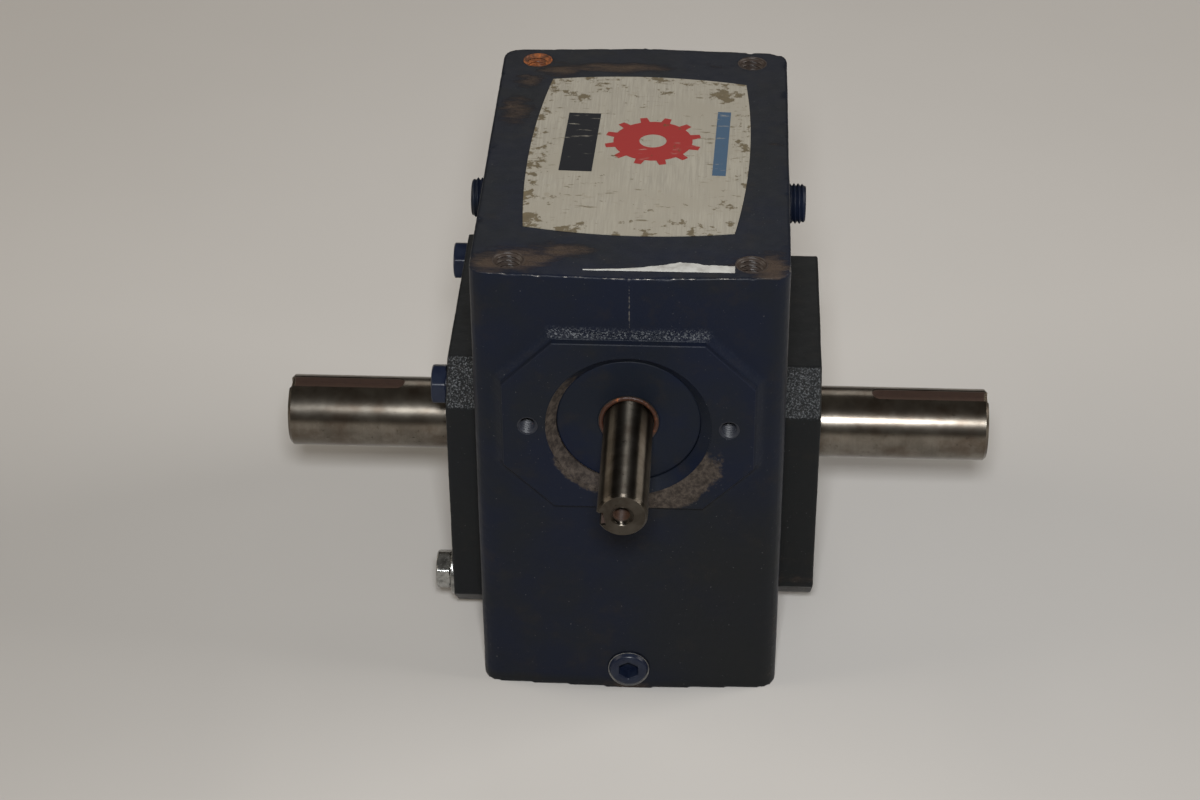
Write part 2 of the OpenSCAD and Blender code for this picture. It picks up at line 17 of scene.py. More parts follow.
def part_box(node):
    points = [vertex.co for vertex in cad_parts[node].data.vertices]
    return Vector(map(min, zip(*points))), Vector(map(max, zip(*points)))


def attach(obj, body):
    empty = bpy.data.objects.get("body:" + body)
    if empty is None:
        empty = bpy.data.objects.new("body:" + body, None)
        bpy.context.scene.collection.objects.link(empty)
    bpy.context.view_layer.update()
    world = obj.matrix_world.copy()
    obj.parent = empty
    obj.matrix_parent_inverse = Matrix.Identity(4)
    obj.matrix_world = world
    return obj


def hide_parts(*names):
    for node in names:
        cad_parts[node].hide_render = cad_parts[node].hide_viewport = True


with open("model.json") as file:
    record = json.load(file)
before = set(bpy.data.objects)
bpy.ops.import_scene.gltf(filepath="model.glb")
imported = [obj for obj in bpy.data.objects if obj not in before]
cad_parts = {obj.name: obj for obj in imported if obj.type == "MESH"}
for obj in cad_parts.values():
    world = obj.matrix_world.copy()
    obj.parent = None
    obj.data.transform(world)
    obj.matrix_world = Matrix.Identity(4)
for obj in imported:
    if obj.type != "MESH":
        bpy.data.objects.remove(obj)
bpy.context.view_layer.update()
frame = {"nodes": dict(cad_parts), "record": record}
nodes = frame["nodes"]
mounts = {m["name"]: m for m in frame["record"]["mounts"]}
MM = 0.001
SEED = 7

# ---- places, from the frame and from given sizes ----

plate_low, plate_high = (Vector(c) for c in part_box("name_plate"))
cover_low, cover_high = (Vector(c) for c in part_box("left_cover"))
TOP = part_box("housing")[1][2]
INPUT = Vector(mounts["input_pad_holes"]["pos_m"])
OUTPUT_Z = mounts["output_shaft_right"]["pos_m"][2]
PAD_Y = INPUT.y
SIDE_X = 50.3 * MM          # the block's side faces
FRONT_Y = -76.0 * MM        # the block's front face at its sides
DRAFT = 2.4 * MM            # and its extra depth in the middle
PAD_W, PAD_H, PAD_CHAMFER = 81.2 * MM, 63.6 * MM, 16.4 * MM


def corner_holes(face):
    """Mouths of the four tapped holes in the top or the base, by name."""
    start = face + "_hole_"
    return {n[len(start):]: Vector(m["pos_m"]) for n, m in mounts.items() if n.startswith(start)}


def pad_holes():
    """Mouths of the input pad's two tapped holes."""
    m = mounts["input_pad_holes"]
    reach = m["dims"]["spacing_x_mm"] * MM / 2
    return [Vector(m["pos_m"]) + Vector((s * reach, 0, 0)) for s in (-1, 1)]


# ---- noise for shapes, the same on each run ----

_permutation = np.random.RandomState(SEED).permutation(512)
_gradients = np.random.RandomState(SEED + 1).normal(size=(512, 3))
_gradients /= np.linalg.norm(_gradients, axis=1)[:, None]


def noise(points, wavelength, offset=0.0):
    """Gradient noise from about -1 to 1 at each of the points."""
    p = np.asarray(points) / wavelength + offset
    cell = np.floor(p).astype(np.int64)
    f = p - cell
    fade = f * f * f * (f * (f * 6 - 15) + 10)
    total = np.zeros(len(p))
    for corner in np.ndindex(2, 2, 2):
        c = (cell + corner) & 511
        h = _permutation[(_permutation[(_permutation[c[:, 0]] + c[:, 1]) & 511] + c[:, 2]) & 511]
        weight = np.prod(np.where(corner, fade, 1 - fade), axis=1)
        total += weight * np.einsum("ij,ij->i", _gradients[h], f - corner)
    return total * 1.6


def cloud(points, wavelength, octaves=3, offset=0.0):
    """Several octaves of noise."""
    total, size = np.zeros(len(points)), 1.0
    for k in range(octaves):
        total += size * noise(points, wavelength / 2**k, offset + 13.7 * k)
        size *= 0.55
    return total


def step(value, low, high):
    """0 below low, 1 above high, and smooth between them."""
    t = np.clip((value - low) / (high - low), 0, 1)
    return t * t * (3 - 2 * t)


def bump_at(distance, width):
    """1 at no distance, falling smoothly to 0 over about twice the width."""
    return np.exp(-((distance / width) ** 2))


# ---- meshes ----


def vertices_of(mesh):
    co = np.empty(len(mesh.vertices) * 3, np.float32)
    mesh.vertices.foreach_get("co", co)
    return co.reshape(-1, 3).astype(float)


def normals_of(mesh):
    no = np.empty(len(mesh.vertices) * 3, np.float32)
    mesh.vertices.foreach_get("normal", no)
    return no.reshape(-1, 3).astype(float)


def set_vertices(mesh, co):
    mesh.vertices.foreach_set("co", np.asarray(co, np.float32).ravel())
    mesh.update()


def set_value(mesh, name, values):
    """Stores one number a vertex, which a material reads by name."""
    layer = mesh.attributes.new(name, "FLOAT", "POINT")
    layer.data.foreach_set("value", np.asarray(values, np.float32))


def paint_values(mesh, bare=0, wear=0, rough=0, rust=0, dull=0):
    """The values that the painted casting reads: one number for all, or one a vertex."""
    values = {"wear": wear, "rough": rough, "bare": bare, "dull": dull, "rust": rust}
    for name, value in values.items():
        set_value(mesh, name, value + np.zeros(len(mesh.vertices)))


def shade(mesh, angle=35):
    mesh.polygons.foreach_set("use_smooth", [True] * len(mesh.polygons))
    mesh.set_sharp_from_angle(angle=math.radians(angle))


def make(name, mesh, material, slot, *replaced, body="housing"):
    """An object of that mesh that rides on a body and may stand for CAD nodes."""
    obj = bpy.data.objects.new(name, mesh)
    bpy.context.scene.collection.objects.link(obj)
    mesh.materials.clear()
    mesh.materials.append(material)
    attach(obj, body)
    if replaced:
        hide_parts(*replaced)
    return obj


def grid_mesh(name, points, closed_u=True, caps=False, matrix=None):
    """A mesh from a grid of points [v][u]. caps closes both ends with a fan."""
    rows, cols = len(points), len(points[0])
    verts = [tuple(p) for row in points for p in row]
    faces = []
    last = cols if closed_u else cols - 1
    for j in range(rows - 1):
        for i in range(last):
            k = (i + 1) % cols
            faces.append((j * cols + i, j * cols + k, (j + 1) * cols + k, (j + 1) * cols + i))
    if caps:
        faces.append(tuple(reversed(range(cols))))
        faces.append(tuple((rows - 1) * cols + i for i in range(cols)))
    mesh = bpy.data.meshes.new(name)
    mesh.from_pydata(verts, [], faces)
    if matrix is not None:
        mesh.transform(matrix)
    mesh.validate()
    return mesh


@contextmanager
def editing(mesh):
    """Opens a mesh for editing and stores the result in it."""
    work = bmesh.new()
    work.from_mesh(mesh)
    yield work
    work.to_mesh(mesh)
    work.free()


def joined(name, meshes):
    """One mesh of several."""
    work = bmesh.new()
    for m in meshes:
        work.from_mesh(m)
    mesh = bpy.data.meshes.new(name)
    work.to_mesh(mesh)
    work.free()
    return mesh


def facing(point, direction):
    """Matrix that puts local +Z along direction, at point."""
    z = Vector(direction).normalized()
    return Matrix.Translation(point) @ z.to_track_quat("Z", "Y").to_matrix().to_4x4()


def tidy_mesh(mesh):
    """Merges doubled points and turns every face outwards."""
    with editing(mesh) as work:
        bmesh.ops.remove_doubles(work, verts=work.verts, dist=1e-7)
        bmesh.ops.recalc_face_normals(work, faces=work.faces)


def turned_ring(radius_at, z, segments):
    """Points round the z axis, at a radius that depends on the angle."""
    angles = [2 * math.pi * i / segments for i in range(segments)]
    return [(radius_at(a) * math.cos(a), radius_at(a) * math.sin(a), z) for a in angles]


def lathe(name, profile, matrix, segments=128, closed=True):
    """A turned shape from (radius, height) points. closed joins the last point to the first."""
    ring = list(profile) + ([profile[0]] if closed else [])
    mesh = grid_mesh(name, [turned_ring(lambda a: r, h, segments) for r, h in ring], matrix=matrix)
    tidy_mesh(mesh)
    return mesh


def bevelled(obj, width, segments=3, angle=30):
    """Rounds an object's edges without touching its own vertices."""
    mod = obj.modifiers.new("Edges", "BEVEL")
    mod.width = width
    mod.segments = segments
    mod.limit_method = "ANGLE"
    mod.angle_limit = math.radians(angle)
    mod.harden_normals = True
    mod.use_clamp_overlap = True


def cast_skin(node, name, voxel, smoothing):
    """A dense, evenly meshed copy of a CAD node, with soft cast edges."""
    copy = bpy.data.objects.new(name + "_work", nodes[node].data.copy())
    bpy.context.scene.collection.objects.link(copy)
    remesh = copy.modifiers.new("Skin", "REMESH")
    remesh.mode = "VOXEL"
    remesh.voxel_size = voxel
    soften = copy.modifiers.new("Soften", "SMOOTH")
    soften.factor = 0.5
    soften.iterations = smoothing
    graph = bpy.context.evaluated_depsgraph_get()
    mesh = bpy.data.meshes.new_from_object(copy.evaluated_get(graph), depsgraph=graph)
    mesh.name = name
    bpy.data.objects.remove(copy)
    mesh.polygons.foreach_set("use_smooth", [True] * len(mesh.polygons))
    return mesh


# ---- materials ----


class Shader:
    """Builds one node material. Each method adds a node and returns its output."""

    def __init__(self, name):
        self.material = bpy.data.materials.new(name)
        self.material.use_nodes = True
        self.tree = self.material.node_tree
        self.bsdf = self.tree.nodes["Principled BSDF"]
        self.place = self.tree.nodes.new("ShaderNodeTexCoord").outputs["Object"]

    def feed(self, socket, value):
        if isinstance(value, bpy.types.NodeSocket):
            self.tree.links.new(value, socket)
        elif isinstance(value, (tuple, list)) and len(value) == 3 and socket.type == "RGBA":
            socket.default_value = (*value, 1.0)
        else:
            socket.default_value = value

    def add(self, kind, output=0, settings=(), **inputs):
        node = self.tree.nodes.new(kind)
        for key, value in settings:
            setattr(node, key, value)
        for key, value in inputs.items():
            name = key.replace("_", " ")
            self.feed(node.inputs[int(key[1:]) if key[0] == "i" and key[1:].isdigit() else name], value)
        return node.outputs[output]

    def math(self, operation, a, b=0.0):
        return self.add("ShaderNodeMath", settings=(("operation", operation),), i0=a, i1=b)

    def times(self, a, b):
        return self.math("MULTIPLY", a, b)

    def plus(self, a, b):
        return self.math("ADD", a, b)

    def minus(self, a, b):
        return self.math("SUBTRACT", a, b)

    def noise(self, size, detail=4.0, roughness=0.55, coords=None):
        """Noise whose largest features are about size metres."""
        return self.add(
            "ShaderNodeTexNoise", Vector=coords or self.place, Scale=1.0 / size, Detail=detail,
            Roughness=roughness,
        )

    def stretched(self, x, y, z):
        """Object coordinates scaled along each axis."""
        return self.add("ShaderNodeMapping", Vector=self.place, Scale=(x, y, z))

    def smooth(self, value, low, high):
        """0 below low, 1 above high."""
        return self.add(
            "ShaderNodeMapRange", settings=(("interpolation_type", "SMOOTHSTEP"),),
            Value=value, From_Min=low, From_Max=high,
        )

    def mix(self, factor, a, b):
        node = self.tree.nodes.new("ShaderNodeMix")
        node.data_type = "RGBA"
        self.feed(node.inputs["Factor"], factor)
        self.feed(node.inputs[6], a)
        self.feed(node.inputs[7], b)
        return node.outputs[2]

    def blend(self, factor, a, b):
        """A number between a and b."""
        node = self.tree.nodes.new("ShaderNodeMix")
        self.feed(node.inputs["Factor"], factor)
        self.feed(node.inputs[2], a)
        self.feed(node.inputs[3], b)
        return node.outputs[0]

    def attribute(self, name):
        return self.add("ShaderNodeAttribute", output=2, settings=(("attribute_name", name),))

    def axis(self, index):
        return self.add("ShaderNodeSeparateXYZ", output=index, Vector=self.place)

    def pointiness(self):
        return self.add("ShaderNodeNewGeometry", output=7)

    def bump(self, height, distance, strength=1.0, normal=None):
        node = self.tree.nodes.new("ShaderNodeBump")
        self.feed(node.inputs["Height"], height)
        node.inputs["Distance"].default_value = distance
        node.inputs["Strength"].default_value = strength
        if normal is not None:
            self.tree.links.new(normal, node.inputs["Normal"])
        return node.outputs["Normal"]

    def done(self, **sockets):
        for key, value in sockets.items():
            self.feed(self.bsdf.inputs[key.replace("_", " ")], value)
        return self.material


RUST_DARK = (0.055, 0.022, 0.010)
RUST_BRIGHT = (0.32, 0.095, 0.022)
NAVY = (0.0052, 0.0086, 0.0225)
NAVY_GREY = (0.0080, 0.0105, 0.0165)
DULL = (0.0105, 0.0112, 0.0112)
BARE_IRON = (0.092, 0.073, 0.058)
SMEAR = (0.098, 0.068, 0.048)


def rust_colour(s):
    return s.mix(s.smooth(s.noise(2.5 * MM, 6), 0.35, 0.7), RUST_DARK, RUST_BRIGHT)


def painted_casting(name, masks=True):
    """Dark navy enamel over cast iron. masks reads the rust, wear, bare and rough values of the mesh."""
    s = Shader(name)
    patches = s.smooth(s.noise(30 * MM, 5), 0.35, 0.65)
    colour = s.mix(patches, NAVY, NAVY_GREY)
    if masks:
        colour = s.mix(s.attribute("dull"), colour, DULL)
    grime = s.smooth(s.noise(9 * MM, 8, 0.65), 0.5, 0.75)
    colour = s.mix(s.times(grime, 0.35), colour, (0.020, 0.017, 0.014))
    rough = s.blend(s.noise(4 * MM, 4), 0.34, 0.52)
    grain = s.noise(0.55 * MM, 3, 0.6)
    peel = s.noise(2.2 * MM, 2, 0.5)
    height = s.plus(s.times(grain, 0.5), peel)
    normal = s.bump(height, 0.10 * MM, 0.55)
    if masks:
        speck = s.noise(0.6 * MM, 4, 0.7)
        grain_glint_mask = s.attribute("rough")
        # painted highlight: light grey specks on the grain mask stand in for the key light catching the rough
        # cast grain
        glint = s.times(s.smooth(speck, 0.50, 0.62), grain_glint_mask)
        colour = s.mix(s.times(glint, 0.60), colour, (0.20, 0.21, 0.22))
        dust = s.smooth(s.noise(0.75 * MM, 2, 0.5), 0.735, 0.775)
        colour = s.mix(s.times(dust, 0.55), colour, (0.14, 0.14, 0.14))
        wear = s.smooth(s.plus(s.attribute("wear"), s.times(s.noise(1.6 * MM, 6, 0.7), 0.9)), 0.95, 1.15)
        colour = s.mix(wear, colour, s.mix(s.noise(3 * MM, 3), (0.13, 0.115, 0.095), (0.24, 0.23, 0.215)))
        bare = s.smooth(s.plus(s.attribute("bare"), s.times(s.noise(2.5 * MM, 7, 0.7), 0.8)), 0.82, 1.0)
        scraped = s.smooth(s.noise(2.2 * MM, 8, 0.75), 0.35, 0.68)
        bare_colour = s.mix(scraped, (0.026, 0.020, 0.016), BARE_IRON)
        colour = s.mix(s.times(bare, 0.9), colour, bare_colour)
        smudge = s.noise(4 * MM, 8, 0.7, s.stretched(0.45, 1.5, 1))
        rust = s.smooth(s.plus(s.attribute("rust"), s.times(smudge, 0.9)), 0.70, 1.08)
        brown = s.mix(s.noise(2 * MM, 6, 0.7), (0.034, 0.025, 0.019), SMEAR)
        colour = s.mix(s.times(rust, 0.85), colour, brown)
        rough = s.blend(s.math("MAXIMUM", rust, bare), rough, 0.72)
        pitted = s.times(s.noise(0.8 * MM, 5, 0.7), s.math("MAXIMUM", rust, grain_glint_mask))
        normal = s.bump(pitted, 0.5 * MM, 1.0, normal)
        wet = s.times(wear, 0.8)
        s.feed(s.bsdf.inputs["Metallic"], wet)
    return s.done(Base_Color=colour, Roughness=rough, Normal=normal, Specular_IOR_Level=0.14)


def turned_steel(name, dark, light, along, tarnish, brown, rough, radius, reach, lines_depth, stretch=0.0):
    """Ground steel with fine lines round the axis along ("x" or "y"), brown tarnish, pits and rusty keyways.

    radius is the shaft's, and reach is its end's distance from the origin. What lies deeper is a keyway or
    a hole.
    stretch spreads the highlight along the axis, as turning marks do.
    """
    s = Shader(name)
    fine = {"x": (1, 0.02, 0.02), "y": (0.02, 1, 0.02)}[along]
    lines = s.noise(0.35 * MM, 6, 0.7, s.stretched(*fine))
    colour = s.mix(s.smooth(s.noise(9 * MM, 6, 0.6), 0.35, 0.65), dark, light)
    stain = s.smooth(s.noise(11 * MM, 7, 0.62), 0.42, 0.68)
    colour = s.mix(s.times(stain, tarnish), colour, brown)
    pits = s.smooth(s.noise(2.2 * MM, 6, 0.65), 0.62, 0.70)
    colour = s.mix(s.times(pits, 0.75), colour, tuple(0.35 * c for c in brown))
    colour = s.mix(s.times(s.smooth(lines, 0.45, 0.75), 0.25), colour, tuple(0.6 * c for c in dark))
    roughness = s.blend(s.noise(5 * MM, 5, 0.6), *rough)
    normal = s.bump(s.noise(0.7 * MM, 4, 0.6), 0.012 * MM, 0.5, s.bump(lines, lines_depth, 0.4))
    across, level = (s.axis(1), OUTPUT_Z) if along == "x" else (s.axis(0), INPUT.z)
    height = s.minus(s.axis(2), level)
    depth = s.math("SQRT", s.plus(s.times(across, across), s.times(height, height)))
    inside = s.smooth(s.minus(radius, depth), 0.25 * MM, 0.6 * MM)
    end = s.minus(reach, s.math("ABSOLUTE", s.axis(0 if along == "x" else 1)))
    rusty = s.times(inside, s.smooth(end, 0.9 * MM, 1.3 * MM))
    keyway_brown = s.mix(s.noise(1.8 * MM, 6, 0.7), (0.026, 0.013, 0.008), (0.062, 0.031, 0.019))
    colour = s.mix(rusty, colour, keyway_brown)
    roughness = s.blend(rusty, roughness, 0.85)
    if stretch:
        around = s.add("ShaderNodeTangent", settings=(("direction_type", "RADIAL"), ("axis", along.upper())))
        s.feed(s.bsdf.inputs["Tangent"], around)
        s.feed(s.bsdf.inputs["Anisotropic"], s.times(s.smooth(end, 0.05 * MM, 0.2 * MM), stretch))
        s.bsdf.inputs["Anisotropic Rotation"].default_value = 0.25
    return s.done(Base_Color=colour, Metallic=s.minus(1.0, rusty), Roughness=roughness, Normal=normal)


def plain_metal(name, dark, light, rough, metallic=1.0, size=3 * MM, bump=0.03 * MM):
    """Metal with soft variation, for the inner pieces and small fixings."""
    s = Shader(name)
    cloudy = s.noise(size, 6, 0.6)
    colour = s.mix(s.smooth(cloudy, 0.3, 0.7), dark, light)
    roughness = s.blend(s.noise(size / 3, 5, 0.6), rough - 0.08, rough + 0.1)
    normal = s.bump(s.noise(size / 6, 4, 0.6), bump, 0.5)
    return s.done(Base_Color=colour, Metallic=metallic, Roughness=roughness, Normal=normal)


def rubbery(name, colour, dusty, rough):
    s = Shader(name)
    mixed = s.mix(s.smooth(s.noise(4 * MM, 6), 0.4, 0.75), colour, dusty)
    normal = s.bump(s.noise(0.9 * MM, 4), 0.08 * MM, 0.5)
    return s.done(Base_Color=mixed, Roughness=rough, Normal=normal)


navy_casting = painted_casting("navy_casting")
navy_small = painted_casting("navy_small", masks=False)


def foil_stains(s):
    """Where the plate is scratched or stained, from 0 to 1: (scratches, stains)."""
    slanted = s.add("ShaderNodeMapping", Vector=s.place, Rotation=(0, 0, -0.75), Scale=(0.30, 1.2, 1))
    long_marks = s.noise(2.2 * MM, 5, 0.6, slanted)
    marks = s.smooth(long_marks, 0.61, 0.65)
    patch = s.smooth(s.noise(16 * MM, 3), 0.42, 0.58)
    stains = s.smooth(s.noise(4.5 * MM, 7, 0.68), 0.60, 0.68)
    return s.times(marks, patch), stains


def printed_foil(name, ink=None):
    """Brushed, printed metal foil, with the print worn through where it is scratched."""
    s = Shader(name)
    brushed = s.noise(0.5 * MM, 4, 0.6, s.stretched(1, 0.04, 1))
    ground = s.mix(s.smooth(brushed, 0.3, 0.7), (0.285, 0.265, 0.220), (0.370, 0.345, 0.285))
    ground = s.mix(s.smooth(s.noise(22 * MM, 4), 0.35, 0.7), ground, (0.315, 0.290, 0.235))
    marks, stains = foil_stains(s)
    colour = ground if ink is None else s.mix(s.times(marks, 0.45), ink, ground)
    if ink is None:
        colour = s.mix(s.times(marks, 0.80), colour, (0.115, 0.090, 0.045))
    x, y = s.axis(0), s.axis(1)
    edge_x = s.smooth(s.math("ABSOLUTE", s.minus(x, 0.4 * MM)), 24 * MM, 38 * MM)
    edge_y = s.smooth(s.math("ABSOLUTE", y), 34 * MM, 54 * MM)
    edge = s.times(s.math("MAXIMUM", edge_x, edge_y), 0.12)
    spots = (
        (-27, 47, 9, 0.13), (29, 43, 8, 0.22), (-34, -8, 8, 0.16), (-34, -44, 7, 0.22),
        (-20, 40, 5, 0.10), (38, 6, 6, 0.12), (10, 18, 5, 0.08),
    )
    for cx, cy, size, share in spots:
        dx, dy = s.minus(x, cx * MM), s.minus(y, cy * MM)
        d = s.math("SQRT", s.plus(s.times(dx, dx), s.times(dy, dy)))
        near = s.minus(1.0, s.smooth(d, 0.3 * size * MM, 1.2 * size * MM))
        edge = s.math("MAXIMUM", edge, s.times(near, share))
    dirty = s.smooth(s.plus(s.noise(5 * MM, 7, 0.68), edge), 0.635, 0.70)
    dirt = s.mix(s.noise(2 * MM, 4), (0.060, 0.042, 0.018), (0.145, 0.110, 0.052))
    colour = s.mix(s.times(dirty, 0.85), colour, dirt)
    if ink is None:
        colour = s.mix(s.times(stains, 0.30), colour, (0.20, 0.165, 0.10))
    rough = s.blend(dirty, 0.42, 0.7)
    normal = s.bump(s.plus(brushed, marks), 0.03 * MM, 0.5)
    metal, gloss = (0.25, 0.5) if ink is None else (0.0, 0.15)
    return s.done(Base_Color=colour, Roughness=rough, Metallic=metal, Normal=normal, Specular_IOR_Level=gloss)


foil = printed_foil("foil")
print_red = printed_foil("print_red", (0.26, 0.022, 0.020))
print_black = printed_foil("print_black", (0.005, 0.006, 0.009))
print_blue = printed_foil("print_blue", (0.045, 0.085, 0.14))


def thread_material(name, base, rust_share):
    s = Shader(name)
    rust = s.smooth(s.noise(3.2 * MM, 6, 0.65), 0.68 - rust_share, 0.80 - rust_share)
    colour = s.mix(rust, base, rust_colour(s))
    normal = s.bump(s.noise(0.6 * MM, 5, 0.7), 0.1 * MM, 0.6)
    rough = s.blend(rust, 0.45, 0.85)
    return s.done(Base_Color=colour, Roughness=rough, Normal=normal, Specular_IOR_Level=0.4)


thread_brown = thread_material("thread_brown", (0.032, 0.022, 0.017), 0.0)
thread_paint = thread_material("thread_paint", (0.022, 0.024, 0.032), 0.0)
crust_rust = thread_material("crust_rust", (0.12, 0.036, 0.012), 0.30)
crust_dark = thread_material("crust_dark", (0.045, 0.017, 0.009), 0.12)


def worn_paint(name, wear_low, wear_high, metal):
    """Small painted fixings whose edges are rubbed bright."""
    s = Shader(name)
    colour = s.mix(s.smooth(s.noise(5 * MM, 4), 0.35, 0.65), NAVY, (0.011, 0.016, 0.032))
    wear = s.smooth(s.plus(s.pointiness(), s.times(s.noise(1.2 * MM, 4), 0.10)), wear_low, wear_high)
    colour = s.mix(wear, colour, metal)
    grain = s.noise(0.5 * MM, 3)
    return s.done(Base_Color=colour, Roughness=s.blend(wear, 0.34, 0.45), Metallic=s.times(wear, 0.7),
                  Normal=s.bump(grain, 0.04 * MM, 0.5), Specular_IOR_Level=0.32)


bolt_paint = worn_paint("bolt_paint", 0.60, 0.66, (0.22, 0.21, 0.20))
drain_paint = worn_paint("drain_paint", 0.60, 0.66, (0.16, 0.16, 0.17))
seal_paint = painted_casting("seal_paint", masks=False)
old_paper = rubbery("old_paper", (0.44, 0.44, 0.42), (0.26, 0.25, 0.23), 0.8)
pale_sealant = rubbery("pale_sealant", (0.14, 0.135, 0.125), (0.03, 0.03, 0.035), 0.5)
output_steel = turned_steel(
    "output_steel", (0.17, 0.15, 0.125), (0.25, 0.225, 0.19), "x", 0.75, (0.125, 0.092, 0.068), (0.20, 0.27),
    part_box("output_shaft")[1][1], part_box("output_shaft")[1][0], 0.006 * MM,
)
input_steel = turned_steel(
    "input_steel", (0.060, 0.053, 0.043), (0.105, 0.093, 0.077), "y", 0.7, (0.042, 0.031, 0.023),
    (0.33, 0.40), 7.9375 * MM, -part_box("worm_shaft")[0][1], 0.012 * MM, 1.0,
)
bearing_steel = plain_metal(
    "bearing_steel", (0.50, 0.50, 0.51), (0.68, 0.68, 0.69), 0.18, size=8 * MM, bump=0.005 * MM,
)
ring_steel = plain_metal("ring_steel", (0.10, 0.09, 0.08), (0.20, 0.18, 0.16), 0.35)
zinc = plain_metal("zinc", (0.20, 0.20, 0.19), (0.52, 0.52, 0.50), 0.24, size=2.5 * MM, bump=0.12 * MM)
bronze = plain_metal("bronze", (0.42, 0.24, 0.09), (0.62, 0.40, 0.18), 0.28)
brass_cage = plain_metal("brass_cage", (0.50, 0.34, 0.13), (0.66, 0.48, 0.22), 0.3)
grey_iron = plain_metal(
    "grey_iron", (0.05, 0.05, 0.05), (0.10, 0.10, 0.10), 0.62, metallic=0.6, size=5 * MM, bump=0.15 * MM,
)
black_rubber = rubbery("black_rubber", (0.012, 0.012, 0.012), (0.035, 0.03, 0.025), 0.55)
red_sealant = rubbery("red_sealant", (0.30, 0.035, 0.022), (0.16, 0.04, 0.03), 0.45)

# ---- camera ----

camera_data = bpy.data.cameras.new("camera")
camera_data.sensor_width = 36.0
camera_data.lens = 78.465
camera = bpy.data.objects.new("camera", camera_data)
right = Vector((0.99880, 0.04913, -0.00659))
up = Vector((-0.02251, 0.56789, 0.82287))
forward = Vector((-0.0442, 0.8217, -0.5683))
camera.matrix_world = Matrix((
    (right.x, up.x, -forward.x, 0.0279),
    (right.y, up.y, -forward.y, -0.7674),
    (right.z, up.z, -forward.z, 0.5977),
    (0, 0, 0, 1),
))
bpy.context.scene.collection.objects.link(camera)
bpy.context.scene.camera = camera

# ---- housing ----


def block_depth(x):
    """Distance of the front face from the wheel axis, at x."""
    return -FRONT_Y + DRAFT * (1 - np.abs(x) / SIDE_X)


def pad_outside(x, z):
    """Signed distance outside the pad's octagon, across the front face."""
    dx, dz = np.abs(x - INPUT.x) - PAD_W / 2, np.abs(z - INPUT.z) - PAD_H / 2
    corner = (dx + dz + PAD_CHAMFER) / math.sqrt(2)
    return np.maximum(np.maximum(dx, dz), corner)


def cast_grain_and_glint(co, no):
    """1 where the casting shows coarse sand grain, which also gets painted highlight specks: round the pad,
    mostly above it, and on the boss's upper front chamfer, which faces the key light.
    """
    x, y, z = co.T
    ring = step(pad_outside(x, z), 0.1 * MM, 1.0 * MM) * step(-pad_outside(x, z), -4.8 * MM, -2.0 * MM)
    ring *= step(-y, 75.5 * MM, 76.5 * MM)
    top_side = 0.04 + 0.96 * step(z - INPUT.z, 31.5 * MM, 32.5 * MM) * step(-np.abs(x), -27 * MM, -24 * MM)
    chamfer = step(-no[:, 1] + no[:, 2], 1.25, 1.38) * step(np.abs(x), SIDE_X + 0.4 * MM, SIDE_X + 1.5 * MM)
    return np.maximum(ring * top_side, 0.75 * chamfer)


def pad_patches(co):
    """1 where the pad's paint is rubbed off below the input bore, widely right and narrowly left."""
    x, y, z = co.T
    axis_r = np.hypot(x - INPUT.x, z - INPUT.z)
    angle = np.arctan2(z - INPUT.z, x - INPUT.x)
    face = step(-y, -PAD_Y - 1.6 * MM, -PAD_Y - 0.9 * MM)
    right_patch = np.exp(-np.abs((angle + 0.90) / 0.68) ** 3) * step(-axis_r, -42 * MM, -31 * MM)
    left_patch = np.exp(-np.abs((angle + 2.32) / 0.55) ** 3) * step(-axis_r, -31.0 * MM, -27.5 * MM)
    return face * np.maximum(0.80 * right_patch, 0.66 * left_patch)


